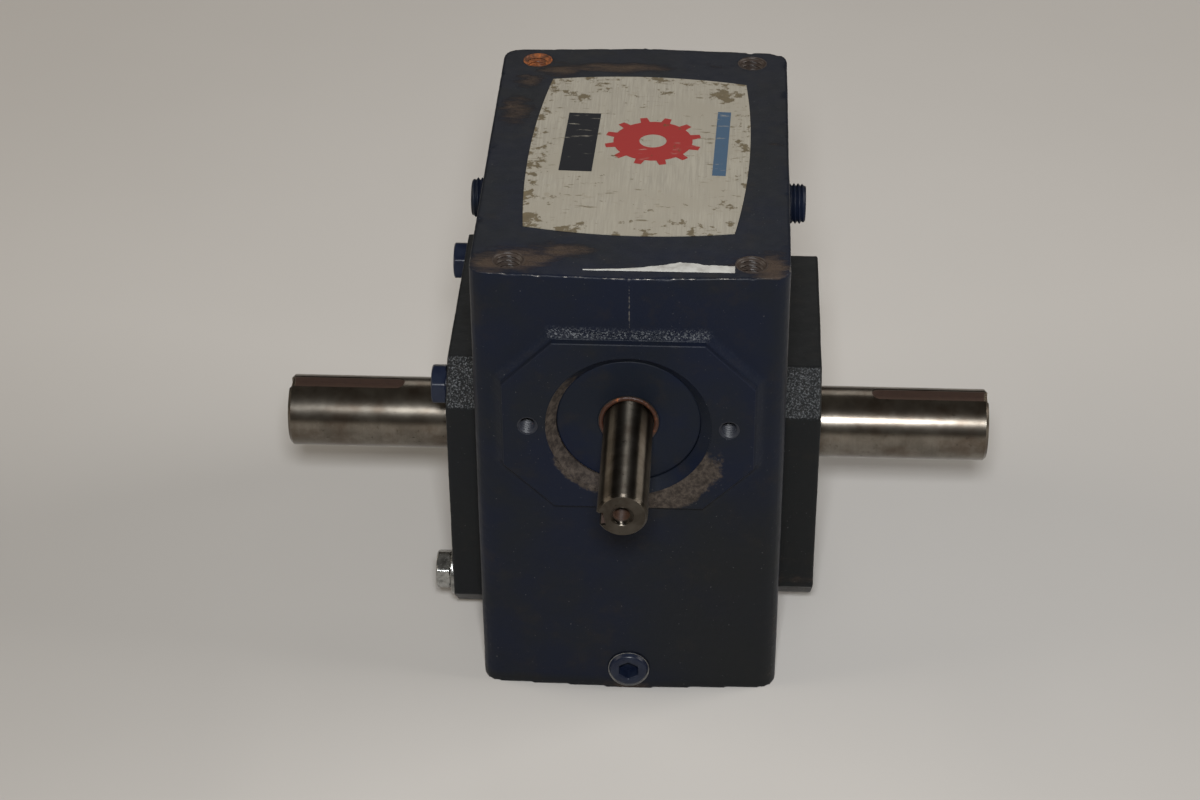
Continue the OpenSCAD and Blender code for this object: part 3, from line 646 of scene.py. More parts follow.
def housing_casting():
    mesh = cast_skin("housing", "housing_casting", 0.6 * MM, 2)
    co, no = vertices_of(mesh), normals_of(mesh)
    x, y, z = co.T
    depth = block_depth(x)
    # rough is the coarse grain, displaced below, and also where the material paints highlight specks
    rough = cast_grain_and_glint(co, no)
    corners = [*corner_holes("top").values(), *corner_holes("base").values()]
    near = np.min([np.linalg.norm(co - np.array(h), axis=1) for h in corners], axis=0)
    near_pad = np.min([np.linalg.norm(co - np.array(h), axis=1) for h in pad_holes()], axis=0)
    axis_r = np.hypot(x - INPUT.x, z - INPUT.z)
    machined = np.maximum.reduce([
        step(-near, -9 * MM, -7 * MM), step(-near_pad, -6 * MM, -4.5 * MM),
        step(-axis_r, -28.5 * MM, -27.5 * MM),
    ])
    outside = step(np.abs(x), SIDE_X - 3 * MM, SIDE_X - 1 * MM)
    outside = np.maximum(outside, step(np.abs(y) - depth, -3 * MM, -1 * MM))
    outside = np.maximum(outside, np.maximum(step(z, TOP - 2 * MM, TOP - 1 * MM), step(-z, -2 * MM, -1 * MM)))
    flat_top = step(z, TOP - 0.8 * MM, TOP - 0.4 * MM)
    loose = outside * (1 - machined)
    shift = 0.10 * MM * cloud(co, 26 * MM, 2) * loose * (1 - 0.6 * flat_top)
    shift += 0.035 * MM * cloud(co, 3.2 * MM, 2, 5) * loose * (1 - 0.7 * flat_top)
    shift += 0.30 * MM * cloud(co, 2.6 * MM, 2, 9) * rough
    # the parting line's flash on the front and rear faces, above and below the pad
    wander = 0.5 * MM * noise(np.c_[np.zeros(len(co)), np.sign(y), z], 14 * MM)
    line = bump_at(x - wander, 0.55 * MM) * step(np.abs(y) - depth, -0.6 * MM, -0.2 * MM)
    clear = step(pad_outside(x, z), 2.5 * MM, 4.5 * MM)
    strength = 0.35 + 0.65 * step(z, INPUT.z + 33 * MM, INPUT.z + 38 * MM)
    shift += 0.48 * MM * line * clear * strength * (0.6 + 0.4 * noise(co, 5 * MM, 3))
    # the machined plate and the bore's chamfer are laid over the skin, which is set back under them
    under = step(-y, 78.7 * MM, 79.0 * MM) * step(-pad_outside(x, z), -0.7 * MM, -0.4 * MM)
    under = np.maximum(under, step(-y, 75.5 * MM, 76.5 * MM) * step(-axis_r, -28.5 * MM, -27.5 * MM))
    co += no * (shift * (1 - under) - 0.45 * MM * under)[:, None]
    on_side = step(np.abs(x), 44 * MM, 49 * MM) * step(-np.abs(x), -SIDE_X - 0.6 * MM, -SIDE_X - 0.3 * MM)
    co[:, 0] += 0.3 * MM * np.sign(x) * on_side
    # small chips along the top's edges
    edge_y = np.abs(np.abs(y) - depth)
    edge_x = np.abs(SIDE_X - np.abs(x))
    edge = np.minimum(edge_x, edge_y)
    corner = np.hypot(TOP - z, edge)
    chip = bump_at(corner, 1.6 * MM) * step(cloud(co, 7 * MM, 3, 21), 0.25, 0.8)
    co[:, 2] -= 0.55 * MM * chip
    set_vertices(mesh, co)

    front = step(-y, 60 * MM, 72 * MM)
    # worn paint on the top edges, much stronger along the front, where the bright line is partly a painted
    # highlight
    wear = bump_at(corner, 0.55 * MM) * (0.22 + 0.50 * front)
    vertical = np.hypot(edge_x, np.abs(np.abs(y) - depth) - 1.7 * MM)
    wear = np.maximum(wear, 0.40 * bump_at(vertical, 0.6 * MM) * front)
    wear = np.maximum(wear, 0.66 * line * clear * strength)
    top_face = step(z, TOP - 1 * MM, TOP - 0.3 * MM)
    rust = np.zeros(len(co))
    for cx, cy, sx, sy, pull in (
        (-34, -67, 13, 8, 0.66), (-22, -62, 13, 6, 0.56), (44, -70, 9, 10, 0.64), (38, -68, 8, 8, 0.46),
        (-44, -70, 9, 9, 0.60), (-10, 63, 26, 5, 0.56), (-30, 60, 12, 6, 0.54), (-43, 30, 8, 14, 0.50),
        (-40, 52, 7, 8, 0.48),
        (25, 66, 18, 5, 0.30), (38, 68, 7, 6, 0.30), (46, 10, 6, 20, 0.22), (-38, 68, 8, 6, 0.36),
    ):
        d = np.hypot((x - cx * MM) / (sx * MM), (y - cy * MM) / (sy * MM))
        rust = np.maximum(rust, pull * np.exp(-(d**2)))
    rust *= top_face
    rust = np.maximum(rust, 0.30 * step(-near, -6.0 * MM, -4.6 * MM) * top_face)
    drain_side = step(np.abs(x), SIDE_X - 6 * MM, SIDE_X) * step(-z, -60 * MM, -20 * MM) * (y < 0)
    rust = np.maximum.reduce([
        rust, 0.5 * bump_at(z, 5 * MM) * bump_at(x, 16 * MM) * (y < FRONT_Y), 0.25 * bump_at(z, 2.5 * MM),
        0.30 * drain_side,
    ])
    on_front = step(-y, 70 * MM, 74 * MM)
    dull = 0.30 + 0.55 * step(x, -5 * MM, 40 * MM) * on_front * step(-z, -100 * MM, -50 * MM)
    dull = np.maximum(dull, 0.55 * top_face * step(y, -70 * MM, 20 * MM))
    dull = np.maximum(dull, 0.95 * step(np.abs(x), SIDE_X + 0.2 * MM, SIDE_X + 1.5 * MM))
    dull = np.maximum(dull, 0.8 * step(-z, -8 * MM, -1 * MM))
    paint_values(mesh, wear=wear, rough=rough, rust=rust, dull=dull)
    return make("housing_casting", mesh, navy_casting, "navy_paint", "housing")


def octagon(half_w, half_h, chamfer, per_side=30):
    """Points round the pad's outline, in its own x and z."""
    short_w, short_h = half_w - chamfer, half_h - chamfer
    corners = [
        (half_w, short_h), (short_w, half_h), (-short_w, half_h), (-half_w, short_h),
        (-half_w, -short_h), (-short_w, -half_h), (short_w, -half_h), (half_w, -short_h),
    ]
    points = []
    for k, (x0, z0) in enumerate(corners):
        x1, z1 = corners[(k + 1) % 8]
        points += [(x0 + (x1 - x0) * i / per_side, z0 + (z1 - z0) * i / per_side) for i in range(per_side)]
    return points


def pad_plate():
    """The pad's machined face, with crisp edges and open holes, and the bore's wide chamfer."""
    edge, fine, y0, deep = 0.24 * MM, 0.10 * MM, PAD_Y - 0.06 * MM, 2.6 * MM
    half_w, half_h = PAD_W / 2 + 0.1 * MM, PAD_H / 2 + 0.1 * MM
    face = octagon(half_w - edge, half_h - edge, PAD_CHAMFER - 0.6 * edge)
    outlines = [(face, octagon(half_w, half_h, PAD_CHAMFER), edge)]
    openings = [(0, 0, 26.8 * MM, 192)] + [(p.x - INPUT.x, p.z - INPUT.z, 3.35 * MM, 48) for p in pad_holes()]
    for cx, cz, r, n in openings:
        outlines.append((circle(cx, cz, r + fine, n), circle(cx, cz, r, n), fine))
    work = bmesh.new()

    def ring(points, y):
        return [work.verts.new((INPUT.x + x, y, INPUT.z + z)) for x, z in points]

    def fill(loops):
        pairs = [pair for loop in loops for pair in zip(loop, loop[1:] + loop[:1])]
        edges = [work.edges.get(pair) or work.edges.new(pair) for pair in pairs]
        return bmesh.ops.triangle_fill(work, edges=edges, use_beauty=True)

    fronts, backs = [], []
    for top, side, bevel in outlines:
        fronts.append(ring(top, y0))
        backs.append((ring(side, y0 + bevel), ring(side, y0 + deep)))
    for front, (near, far) in zip(fronts, backs):
        for a, b in ((front, near), (near, far)):
            for k in range(len(a)):
                work.faces.new((a[k], a[(k + 1) % len(a)], b[(k + 1) % len(a)], b[k]))
    fill([far for near, far in backs])
    fill(fronts)
    for _ in range(4):
        inner = [e for e in work.edges if all(abs(v.co.y - y0) < 1e-6 for v in e.verts)]
        long = [e for e in inner if e.calc_length() > 2.1 * MM]
        bmesh.ops.subdivide_edges(work, edges=long, cuts=1)
        bmesh.ops.triangulate(work, faces=[f for f in work.faces if len(f.verts) > 4])
    bmesh.ops.recalc_face_normals(work, faces=work.faces)
    mesh = bpy.data.meshes.new("pad_plate")
    work.to_mesh(mesh)
    work.free()
    shade(mesh, 25)
    co = vertices_of(mesh)
    outside = pad_outside(co[:, 0], co[:, 2])
    paint_values(mesh, bare=pad_patches(co), wear=0.22 * step(outside, -0.5 * MM, -0.1 * MM), dull=0.25)
    make("pad_plate", mesh, navy_casting, "navy_paint", "housing")

    profile = [(26.95, -0.16), (23.42, -3.50), (23.42, -6.0), (27.6, -6.0), (27.6, -1.0)]
    place = facing(Vector((INPUT.x, y0, INPUT.z)), (0, -1, 0))
    chamfer = lathe("pad_chamfer", [(r * MM, h * MM) for r, h in profile], place, 240)
    split_mesh(chamfer, 1.2 * MM)
    shade(chamfer, 25)
    x, y, z = vertices_of(chamfer).T
    angle = np.arctan2(z - INPUT.z, x - INPUT.x)
    left = np.exp(-np.abs((np.abs(angle + 2.9) % (2 * math.pi)) / 1.25) ** 4)
    left = np.maximum(left, np.exp(-np.abs((angle - 3.3) / 1.1) ** 4))
    paint_values(chamfer, bare=0.12 + 0.62 * left, wear=0.12)
    make("pad_chamfer", chamfer, navy_casting, "navy_paint", "housing")


def cover_casting():
    mesh = cast_skin("left_cover", "cover_casting", 0.5 * MM, 2)
    co, no = vertices_of(mesh), normals_of(mesh)
    x, y, z = co.T
    middle, half = (cover_low.z + cover_high.z) / 2, (cover_high.z - cover_low.z) / 2
    rim = np.maximum(np.abs(y), np.abs(z - middle)) - half + 2.8 * MM
    chamfer = step(-no[:, 1] + no[:, 2], 1.2, 1.36)
    outer = np.maximum(step(rim, 0, 1 * MM), step(-x, -cover_low.x - 2 * MM, -cover_low.x - 1 * MM))
    outer = np.maximum(outer, step(np.abs(y) + np.abs(z - OUTPUT_Z), 88 * MM, 90 * MM))
    radius = np.hypot(y, z - OUTPUT_Z)
    outer *= step(radius, 22.5 * MM, 24 * MM)
    shift = 0.12 * MM * cloud(co, 20 * MM, 2) + 0.05 * MM * cloud(co, 3 * MM, 2, 5)
    co += no * (shift * outer + 0.35 * MM * cloud(co, 2.4 * MM, 2, 9) * chamfer * outer)[:, None]
    # dress the outer rim back, as on a rounded casting
    co[:, 0] += 0.25 * MM * step(rim, 1.6 * MM, 2.9 * MM) ** 2 * (x < -60 * MM)
    set_vertices(mesh, co)
    wear = 0.25 * bump_at(x - cover_low.x, 1.0 * MM) * step(rim, 0.5 * MM, 2 * MM)
    # rough on the chamfers facing up and forward is grain and also where the material paints highlight specks
    paint_values(mesh, wear=wear, rough=chamfer * outer, rust=0.22 * bump_at(z - 8 * MM, 6 * MM), dull=0.9)
    return make("cover_casting", mesh, navy_casting, "cast_paint", "left_cover")


# ---- threads, plugs and bolts ----


def thread_height(turns):
    """The thread's ridge, from 0 at its root to 1 at its crest, at a distance given in pitches."""
    t = turns % 1.0
    ridge = 1 - abs(2 * t - 1)
    return min(max(1.35 * ridge - 0.15, 0.0), 1.0)


def hexagon_radius(across_flats, angle, sharpness=26):
    """Radius of a hexagon with softly rounded corners, at an angle."""
    total = sum(abs(math.cos(angle - math.pi * k / 3)) ** sharpness for k in range(6))
    return across_flats / 2 / (total / 2) ** (1 / sharpness)


def threaded_sleeve(name, place, direction, radius, pitch, length, material, slot, body="housing"):
    """A tapped hole's wall: a thin sleeve with a thread inside and a small countersink at its mouth."""
    around, per_pitch = 64, 8
    rows = []
    count = int(length / pitch * per_pitch)
    for j in range(count + 1):
        z = -length * j / count
        mouth = max(0.0, 1 + z / (0.7 * MM))
        row = []
        for i in range(around):
            a = 2 * math.pi * i / around
            depth = 0.56 * pitch * thread_height(z / pitch - i / around) * (1 - mouth) + 0.06 * MM
            r = radius - depth + 0.15 * MM * mouth
            row.append((r * math.cos(a), r * math.sin(a), z - 0.04 * MM))
        rows.append(row)
    outer = radius + 0.45 * MM
    rows += [turned_ring(lambda a: outer, z, around) for z in (-length, -0.08 * MM)]
    rows.append(rows[0])
    mesh = grid_mesh(name, rows, matrix=facing(place, direction))
    tidy_mesh(mesh)
    shade(mesh, 50)
    return make(name, mesh, material, slot, body=body)


def split_edges(work, longest, cuts):
    long = [e for e in work.edges if e.calc_length() > longest]
    bmesh.ops.subdivide_edges(work, edges=long, cuts=cuts, use_grid_fill=True)


def split_mesh(mesh, longest):
    """Cuts edges longer than the given length."""
    with editing(mesh) as work:
        for _ in range(3):
            split_edges(work, longest, 1)
        bmesh.ops.triangulate(work, faces=[f for f in work.faces if len(f.verts) > 4])


def pipe_plug(name, node, place, direction, proud, engaged, threaded):
    """A pipe plug with a hexagon socket, whose bare thread stands proud of the casting."""
    radius, pitch, around, per_pitch = 6.8 * MM, 1.41 * MM, 96, 10
    socket, depth = 6.35 * MM, 4.6 * MM
    rows = []

    def ring(radius_at, z):
        rows.append(turned_ring(radius_at, z, around))

    ring(lambda a: hexagon_radius(socket, a) * 0.96, proud - depth)
    for wider, below in ((0, depth - 0.2 * MM), (0, 0.45 * MM), (0.15 * MM, 0.15 * MM), (0.45 * MM, 0)):
        ring(lambda a: hexagon_radius(socket, a) + wider, proud - below)
    for narrower, below in ((1.15 * MM, 0), (0.95 * MM, 0.12 * MM)):
        ring(lambda a: radius - narrower, proud - below)
    count = int((proud + engaged - 0.3 * MM) / pitch * per_pitch)
    for j in range(count + 1):
        z = proud - 0.3 * MM - (proud + engaged - 0.3 * MM) * j / count
        row = []
        for i in range(around):
            a = 2 * math.pi * i / around
            lead_in = min(1.0, max(0.0, (proud - z) / (1.6 * MM)))
            ridge = thread_height(z / pitch - i / around) if threaded else 1.0
            r = radius - 0.8 * MM * (1 - lead_in) - (0.52 * pitch * (1 - ridge)) * lead_in
            row.append((r * math.cos(a), r * math.sin(a), z))
        rows.append(row)
    mesh = grid_mesh(name, rows, caps=True, matrix=facing(place, direction))
    tidy_mesh(mesh)
    shade(mesh, 48)
    return make(name, mesh, navy_small, "navy_paint", node)


def bolt_mesh(name, place, lift):
    """A hexagon bolt on the cover: chamfered head with a washer face, and its shank."""
    flats, height, around = 12.7 * MM, 5.4 * MM, 120
    rows = []

    def ring(radius_at, z):
        rows.append(turned_ring(radius_at, z, around))

    def head(z):
        cone = 0.94 * flats / 2 + (height - z) * 1.75
        low_cone = 0.97 * flats / 2 + (z - 0.35 * MM) * 2.6
        ring(lambda a: min(hexagon_radius(flats, a), cone, low_cone), z + lift)

    shank, collar = 3.9 * MM, 0.46 * flats
    for r, z in ((shank - 0.5 * MM, -19.8 * MM), (shank, -19.3 * MM), (shank, lift), (collar, lift),
                 (collar, lift + 0.35 * MM)):
        ring(lambda a: r, z)
    for z in (0.37, 0.5, 0.7, 1.0, 2.5, 3.8, 4.1, 4.4, 4.7, 4.9, 5.1, 5.25, 5.36):
        head(z * MM)
    ring(lambda a: 0.90 * flats / 2, height + lift)
    ring(lambda a: 0.60 * flats / 2, height + lift - 0.08 * MM)
    mesh = grid_mesh(name, rows, caps=True, matrix=facing(place, (-1, 0, 0)))
    tidy_mesh(mesh)
    shade(mesh, 28)
    return mesh


def cover_fixings():
    """Three painted bolts, and a zinc one with a washer in front below."""
    reach = 39.8 * MM
    face = Vector((cover_low.x, 0, OUTPUT_Z))
    painted = [(-1, 1), (1, -1), (1, 1)]
    meshes = [bolt_mesh("bolt", face + Vector((0, a * reach, b * reach)), 0) for a, b in painted]
    bolts = joined("painted_cover_bolts", meshes)
    make("painted_cover_bolts", bolts, bolt_paint, "navy_paint", "cover_bolts")
    place = face + Vector((0, -reach, -reach))
    zinc_mesh = bolt_mesh("zinc_bolt", place, 1.6 * MM)
    make("zinc_cover_bolt", zinc_mesh, zinc, "zinc", "replacement_bolt")
    inner, outer, t, b = 4.3 * MM, 8.6 * MM, 1.6 * MM, 0.25 * MM
    profile = [
        (inner, 0), (outer - b, 0), (outer, b), (outer, t - b), (outer - b, t), (inner + b, t),
        (inner, t - b),
    ]
    washer = lathe("zinc_washer", profile, facing(place, (-1, 0, 0)))
    shade(washer, 30)
    make("zinc_washer", washer, zinc, "zinc", "replacement_washer")


def threads():
    for face, way in (("top", 1), ("base", -1)):
        for name, place in corner_holes(face).items():
            orange = face == "top" and name == "rear_left"
            threaded_sleeve(f"{face}_thread_{name}", place, (0, 0, way), 4.76 * MM, 1.5875 * MM, 14 * MM,
                            crust_rust if orange else thread_brown, "navy_paint")
    for place, name in zip(pad_holes(), ("left", "right")):
        threaded_sleeve("pad_thread_" + name, place, (0, -1, 0), 3.175 * MM, 1.27 * MM, 12 * MM,
                        thread_paint, "navy_paint")
    shaft_end = Vector((INPUT.x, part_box("worm_shaft")[0][1] + 0.3 * MM, INPUT.z))
    threaded_sleeve("shaft_end_thread", shaft_end, (0, -1, 0), 3.15 * MM, 1.27 * MM, 11 * MM,
                    input_steel, "worm_steel", "worm")


def plugs():
    side_z = (Vector(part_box("left_plug")[0]).z + Vector(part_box("left_plug")[1]).z) / 2
    drain_z = (Vector(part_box("drain_plug")[0]).z + Vector(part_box("drain_plug")[1]).z) / 2
    left = -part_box("left_plug")[0][0] - SIDE_X
    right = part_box("right_plug")[1][0] - SIDE_X
    pipe_plug("left_pipe_plug", "left_plug", Vector((-SIDE_X, 0, side_z)), (-1, 0, 0), left, 7.5 * MM, True)
    pipe_plug("right_pipe_plug", "right_plug", Vector((SIDE_X, 0, side_z)), (1, 0, 0), right, 7.5 * MM, True)
    front = FRONT_Y - DRAFT
    drain = pipe_plug("drain_pipe_plug", "drain_plug", Vector((0, front, drain_z)), (0, -1, 0),
                      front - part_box("drain_plug")[0][1], 8 * MM, False)
    drain.data.materials[0] = drain_paint
    # sealant squeezed out round the drain plug, mostly below it
    around, section = 160, 10
    rows = []
    for i in range(around):
        a = 2 * math.pi * i / around
        low = 0.5 - 0.5 * math.sin(a)
        wobble = noise(np.array([[math.cos(a), math.sin(a), 0.3]]) * 4, 1.0)[0]
        size = (0.16 + 0.62 * low**4 + 0.10 * wobble) * MM
        r = 6.85 * MM + 0.2 * size
        rows.append([
            ((r + size * math.cos(2 * math.pi * k / section)) * math.cos(a),
             front + size * 0.6 * math.sin(2 * math.pi * k / section) - 0.1 * MM,
             drain_z + (r + size * math.cos(2 * math.pi * k / section)) * math.sin(a))
            for k in range(section)
        ])
    rows.append(rows[0])
    mesh = grid_mesh("drain_sealant", rows)
    tidy_mesh(mesh)
    shade(mesh, 60)
    make("drain_sealant", mesh, pale_sealant, "sealant")


# ---- seals, cap and sealant line ----


def turned_piece(name, node, profile, place, direction, material, slot):
    mesh = lathe(name, [(r * MM, h * MM) for r, h in profile], facing(place, direction), 160)
    shade(mesh, 35)
    return make(name, mesh, material, slot, node)


def seals_and_cap():
    face = Vector((INPUT.x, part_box("input_seal_case")[0][1], INPUT.z))
    turned_piece("input_seal_disc", "input_seal_case", [
        (9.85, -1.6), (9.85, -0.35), (10.1, -0.08), (10.5, 0), (16.0, -0.10), (22.7, -0.03), (23.0, -0.08),
        (23.25, -0.30), (23.42, -0.7), (23.5, -1.4), (23.5, -7.0), (21.9, -7.0), (21.9, -2.2), (21.3, -1.6),
    ], face, (0, -1, 0), seal_paint, "navy_paint")
    crust_profile = []
    for k in range(24):
        a = 2 * math.pi * k / 24
        crust_profile.append((8.95 + 0.72 * math.cos(a), 0.05 + 0.55 * math.sin(a)))
    crust = lathe("seal_crust", [(r * MM, h * MM) for r, h in crust_profile], facing(face, (0, -1, 0)), 200)
    co = vertices_of(crust)
    no = normals_of(crust)
    radial = np.hypot(co[:, 0] - INPUT.x, co[:, 2] - INPUT.z)
    co += no * (0.16 * MM * cloud(co, 2.2 * MM, 3) * step(radial, 8.4 * MM, 8.9 * MM))[:, None]
    set_vertices(crust, co)
    shade(crust, 80)
    make("seal_crust", crust, crust_dark, "rubber")
    turned_piece("rear_cap_disc", "rear_end_cap", [
        (0.001, 0), (12, -0.05), (21.8, 0), (22.3, -0.1), (22.8, -0.5), (23.2, -1.2), (23.5, -2.0),
        (23.5, -7), (21.5, -7), (21.5, -2.2), (20.9, -1.6), (0.001, -1.6),
    ], Vector((INPUT.x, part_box("rear_end_cap")[1][1], INPUT.z)), (0, 1, 0), navy_small, "navy_paint")


def sealant_line():
    """A bead of red sealant squeezed out of the joint between the cover and the block."""
    middle, chamfer = (cover_low.z + cover_high.z) / 2, 12.4 * MM
    half = (cover_high.z - cover_low.z) / 2 - 0.2 * MM
    corners = []
    for a, b in ((1, 1), (-1, 1), (-1, -1), (1, -1)):
        long, short = half, half - chamfer
        pair = [(a * long, b * short), (a * short, b * long)]
        corners += pair if a * b > 0 else pair[::-1]
    path = []
    for k, start in enumerate(corners):
        end = corners[(k + 1) % len(corners)]
        n = int(math.dist(start, end) / (0.8 * MM))
        dy, dz = end[0] - start[0], end[1] - start[1]
        path += [(start[0] + dy * i / n, start[1] + dz * i / n) for i in range(n)]
    pts = np.array([(0, y, z) for y, z in path])
    wobble = cloud(pts, 7 * MM, 3, 31)
    rows = []
    for (y, z), w in zip(path, wobble):
        size = (0.34 + 0.22 * max(w, -0.9)) * MM
        size += 0.42 * MM * float(step(-z, 8 * MM, 40 * MM) * step(-y, 20 * MM, 48 * MM))
        out = Vector((0, y, z)).normalized()
        rows.append([
            (-SIDE_X - 0.25 * MM + size * 0.8 * math.sin(2 * math.pi * k / 10),
             y + out.y * size * math.cos(2 * math.pi * k / 10),
             middle + z + out.z * size * math.cos(2 * math.pi * k / 10))
            for k in range(10)
        ])
    rows.append(rows[0])
    mesh = grid_mesh("sealant_bead", rows)
    tidy_mesh(mesh)
    shade(mesh, 80)
    make("sealant_bead", mesh, red_sealant, "sealant")


# ---- name plate, with a generic print, and the strip of old paper in front of it ----

PLATE_W, PLATE_D = 68.0 * MM, 101.0 * MM
PLATE_BOW_X, PLATE_BOW_Y = 3.0 * MM, 3.6 * MM
PLATE_TURN = math.radians(-1.9)
PLATE_CENTRE = Vector(((plate_low.x + plate_high.x) / 2, (plate_low.y + plate_high.y) / 2, TOP))


def on_plate(x, y, z):
    """A point of the plate's own axes, turned as it lies on the casting."""
    c, s = math.cos(PLATE_TURN), math.sin(PLATE_TURN)
    return (PLATE_CENTRE.x + c * x - s * y, PLATE_CENTRE.y + s * x + c * y, z)


def plate_lift(x, y):
    """Height of the plate's face above the casting, with small dents."""
    p = np.array([[x, y, 0.0]])
    return 0.26 * MM + 0.05 * MM * float(cloud(p, 12 * MM, 3, 41)[0])


def name_plate():
    nx, ny = 72, 104
    top, low = [], []
    for j in range(ny + 1):
        v = 2 * j / ny - 1
        for i in range(nx + 1):
            u = 2 * i / nx - 1
            x = u * (PLATE_W / 2 + PLATE_BOW_X * (1 - v * v))
            y = v * (PLATE_D / 2 + PLATE_BOW_Y * (1 - u * u))
            top.append(on_plate(x, y, TOP + plate_lift(x, y)))
            low.append(on_plate(x, y, TOP + 0.02 * MM))
    cols = nx + 1
    faces = []
    for j in range(ny):
        for i in range(nx):
            a = j * cols + i
            faces.append((a, a + 1, a + cols + 1, a + cols))
    n = len(top)
    back = [tuple(reversed([k + n for k in f])) for f in faces]
    edge = [i for i in range(cols)] + [j * cols + nx for j in range(1, ny + 1)]
    edge += [ny * cols + i for i in range(nx - 1, -1, -1)] + [j * cols for j in range(ny - 1, 0, -1)]
    sides = [(a, a + n, b + n, b) for a, b in zip(edge, edge[1:] + edge[:1])]
    mesh = bpy.data.meshes.new("name_plate_foil")
    mesh.from_pydata(top + low, [], faces + back + sides)
    tidy_mesh(mesh)
    shade(mesh, 50)
    make("name_plate_foil", mesh, foil, "label", "name_plate")


def thicken(work, thickness):
    """Gives a flat sheet its thickness, downwards."""
    skin = bmesh.ops.extrude_face_region(work, geom=work.faces[:])
    moved = [g for g in skin["geom"] if isinstance(g, bmesh.types.BMVert)]
    bmesh.ops.translate(work, verts=moved, vec=(0, 0, -thickness))
    bmesh.ops.recalc_face_normals(work, faces=work.faces)


def decal(name, outline, material, slot, lift=0.09 * MM, holes=()):
    """A thin printed shape on the plate, from its outline in the plate's own axes."""
    work = bmesh.new()
    loops = []
    for loop in (outline, *holes):
        loops.append([work.verts.new(on_plate(x, y, TOP + 0.26 * MM)) for x, y in loop])
    edges = [work.edges.new((loop[k], loop[(k + 1) % len(loop)])) for loop in loops for k in range(len(loop))]
    bmesh.ops.triangle_fill(work, edges=edges, use_beauty=True)
    split_edges(work, 3 * MM, 3)
    bmesh.ops.triangulate(work, faces=work.faces)
    mesh = bpy.data.meshes.new(name)
    work.to_mesh(mesh)
    work.free()
    co = vertices_of(mesh)
    c, s = math.cos(PLATE_TURN), math.sin(PLATE_TURN)
    dx, dy = co[:, 0] - PLATE_CENTRE.x, co[:, 1] - PLATE_CENTRE.y
    px, py = c * dx + s * dy, -s * dx + c * dy
    flat = np.c_[px, py, np.zeros(len(px))]
    co[:, 2] = TOP + 0.26 * MM + 0.05 * MM * cloud(flat, 12 * MM, 3, 41) + lift
    set_vertices(mesh, co)
    with editing(mesh) as work:
        for f in work.faces:
            if f.normal.z < 0:
                f.normal_flip()
        thicken(work, 0.07 * MM)
    return make(name, mesh, material, slot)


def circle(x, y, r, n):
    return [(x + r * math.cos(2 * math.pi * k / n), y + r * math.sin(2 * math.pi * k / n)) for k in range(n)]


def bar(x0, y0, x1, y1):
    return [(x0, y0), (x1, y0), (x1, y1), (x0, y1)]


def gear_outline(x, y, root, tip, teeth):
    points = []
    for k in range(teeth):
        for share, r in ((0.0, root), (0.28, root), (0.36, tip), (0.64, tip), (0.72, root)):
            a = 2 * math.pi * (k + share) / teeth
            points.append((x + r * math.cos(a), y + r * math.sin(a)))
    return points


def plate_print():
    """A plain gear sign between two bars: a generic print with no lettering."""
    y = 8 * MM
    decal("print_gear", gear_outline(4 * MM, y, 13.4 * MM, 16.4 * MM, 12), print_red, "label",
          holes=[circle(4 * MM, y, 4.6 * MM, 48)])
    decal("print_bar_dark", bar(-26 * MM, y - 22 * MM, -15 * MM, y + 18 * MM), print_black, "label")
    decal("print_bar_blue", bar(25.0 * MM, y - 22 * MM, 29.5 * MM, y + 22 * MM), print_blue, "label")


def paper_strip():
    """What is left of a paper strip near the front edge."""
    n = 190
    start, end = Vector((-14.5 * MM, -73.5 * MM)), Vector((33.0 * MM, -73.5 * MM))
    shape = ((0, 0.5), (0.2, 1.1), (0.4, 2.3), (0.5, 3.6), (0.62, 5.6), (0.7, 5.7), (0.84, 4.1), (1, 4.0))
    places, widths = zip(*shape)
    near, far = [], []
    for i in range(n + 1):
        t = i / n
        c = start.lerp(end, t)
        p = np.array([[c.x, c.y, 0], [c.x, c.y, 1.0]])
        ragged = cloud(p, 3 * MM, 4, 51)
        near.append((c.x, c.y + 0.10 * MM * ragged[0]))
        far.append((c.x, c.y + float(np.interp(t, places, widths)) * MM * (1 + 0.10 * ragged[1])))
    rows = 6
    verts, faces = [], []
    for i in range(n + 1):
        for j in range(rows + 1):
            w = j / rows
            x = near[i][0] * (1 - w) + far[i][0] * w
            y = near[i][1] * (1 - w) + far[i][1] * w
            rise = 0.10 * MM * min(1.0, 4 * w, 4 * (1 - w)) + 0.02 * MM
            verts.append((x, y, TOP + rise))
    for i in range(n):
        for j in range(rows):
            a = i * (rows + 1) + j
            faces.append((a, a + rows + 1, a + rows + 2, a + 1))
    mesh = bpy.data.meshes.new("paper_strip")
    mesh.from_pydata(verts, [], faces)
    with editing(mesh) as work:
        thicken(work, 0.12 * MM)
    shade(mesh, 60)
    make("paper_strip", mesh, old_paper, "label")


housing_casting()
pad_plate()
cover_casting()
threads()
plugs()
cover_fixings()
seals_and_cap()
sealant_line()
name_plate()
plate_print()
paper_strip()

# ---- materials of the CAD nodes that stay ----

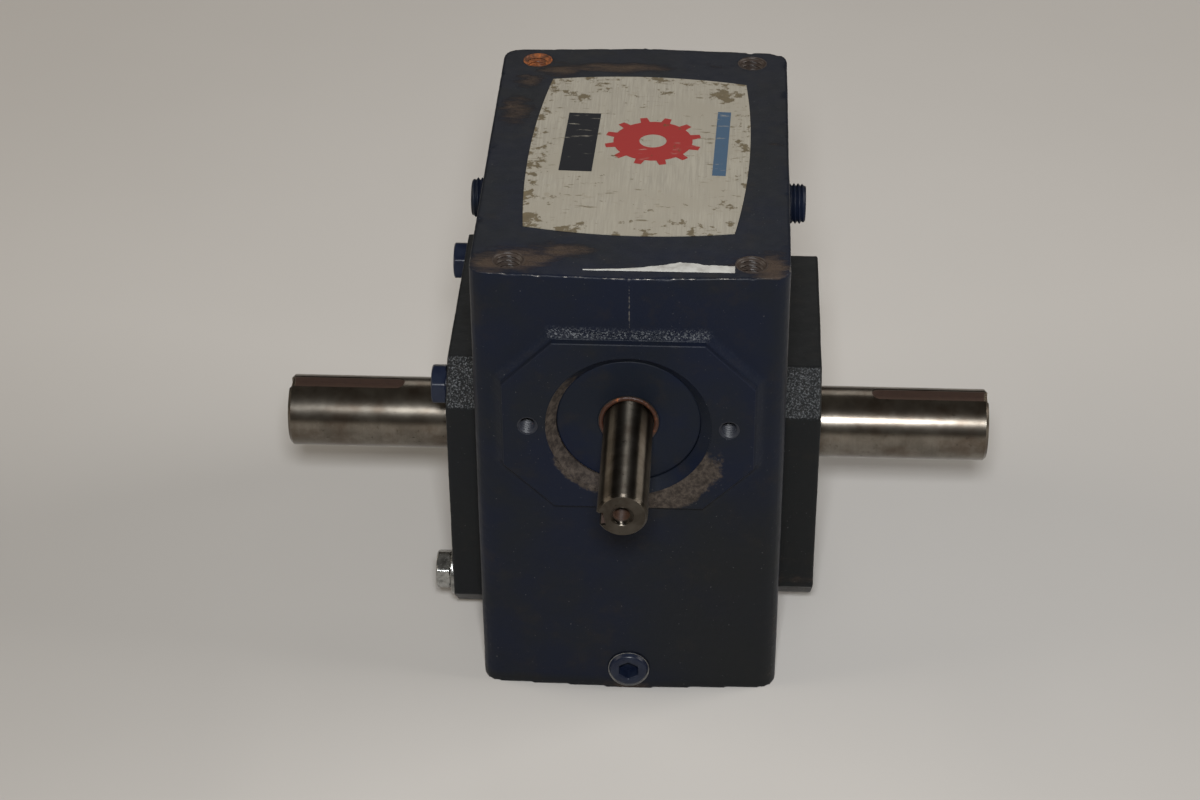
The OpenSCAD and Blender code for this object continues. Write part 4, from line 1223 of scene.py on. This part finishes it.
NODE_MATERIALS = {
    "output_shaft": output_steel, "worm_shaft": input_steel, "wheel_rim": bronze, "wheel_hub": grey_iron,
    "wheel_key": ring_steel, "left_spacer": output_steel, "right_spacer": output_steel,
    "front_retaining_ring": ring_steel, "rear_retaining_ring": ring_steel, "worm_snap_ring": ring_steel,
    "front_ball_cage": brass_cage, "rear_ball_cage": brass_cage,
    "left_roller_cage": ring_steel, "right_roller_cage": ring_steel,
    "input_seal_lip": black_rubber, "left_seal_lip": black_rubber, "right_seal_lip": black_rubber,
    "input_seal_case": navy_small, "left_seal_case": navy_small, "right_seal_case": navy_small,
    "rear_end_cap": navy_small, "cover_gasket": red_sealant, "cover_bolts": navy_small,
    "replacement_bolt": zinc, "replacement_washer": zinc, "left_plug": navy_small,
    "right_plug": navy_small, "drain_plug": navy_small,
}
for node_name, node in nodes.items():
    material = NODE_MATERIALS.get(node_name, bearing_steel)
    node.data.materials.clear()
    node.data.materials.append(material)
    shade(node.data)
for node_name in ("output_shaft", "left_seal_case", "right_seal_case"):
    bevelled(nodes[node_name], 0.35 * MM)

# ---- floor and light ----

floor_mesh = bpy.data.meshes.new("floor")
half = 4.0
floor_mesh.from_pydata([(*p, 0) for p in bar(-half, -half, half, half)], [], [(0, 1, 2, 3)])
floor = bpy.data.objects.new("floor", floor_mesh)
bpy.context.scene.collection.objects.link(floor)
cloth = Shader("floor_cloth")
floor_mesh.materials.append(cloth.done(
    Base_Color=cloth.mix(cloth.noise(0.25, 4), (0.505, 0.490, 0.470), (0.560, 0.545, 0.525)), Roughness=0.9,
))


def area_light(name, place, target, size, power, colour, spread=math.pi):
    data = bpy.data.lights.new(name, "AREA")
    data.shape = "RECTANGLE"
    data.size, data.size_y = size
    data.energy = power
    data.color = colour
    data.spread = spread
    light = bpy.data.objects.new(name, data)
    light.matrix_world = facing(Vector(place), Vector(place) - Vector(target))
    bpy.context.scene.collection.objects.link(light)


world = bpy.data.worlds.new("studio")
bpy.context.scene.world = world
world.use_nodes = True
world.node_tree.nodes["Background"].inputs["Color"].default_value = (0.80, 0.74, 0.66, 1)
world.node_tree.nodes["Background"].inputs["Strength"].default_value = 0.10
area_light("front_key", (0.03, -0.80, 0.72), (0, 0.28, 0.10), (0.13, 0.10), 1.9, (0.96, 0.98, 1.0), 1.4)
area_light("left_fill", (-1.7, 0.0, 1.1), (0, 0, 0.05), (1.3, 1.0), 14.5, (1.0, 0.90, 0.77))
area_light("right_fill", (1.7, 0.15, 1.0), (0, 0, 0.05), (1.1, 0.9), 21, (1.0, 0.95, 0.89))
area_light("rear_panel", (-0.05, 1.7, 1.35), (0, 0, 0.1), (0.9, 0.8), 2.2, (1.0, 0.97, 0.93))
bpy.context.scene.view_settings.view_transform = "Standard"
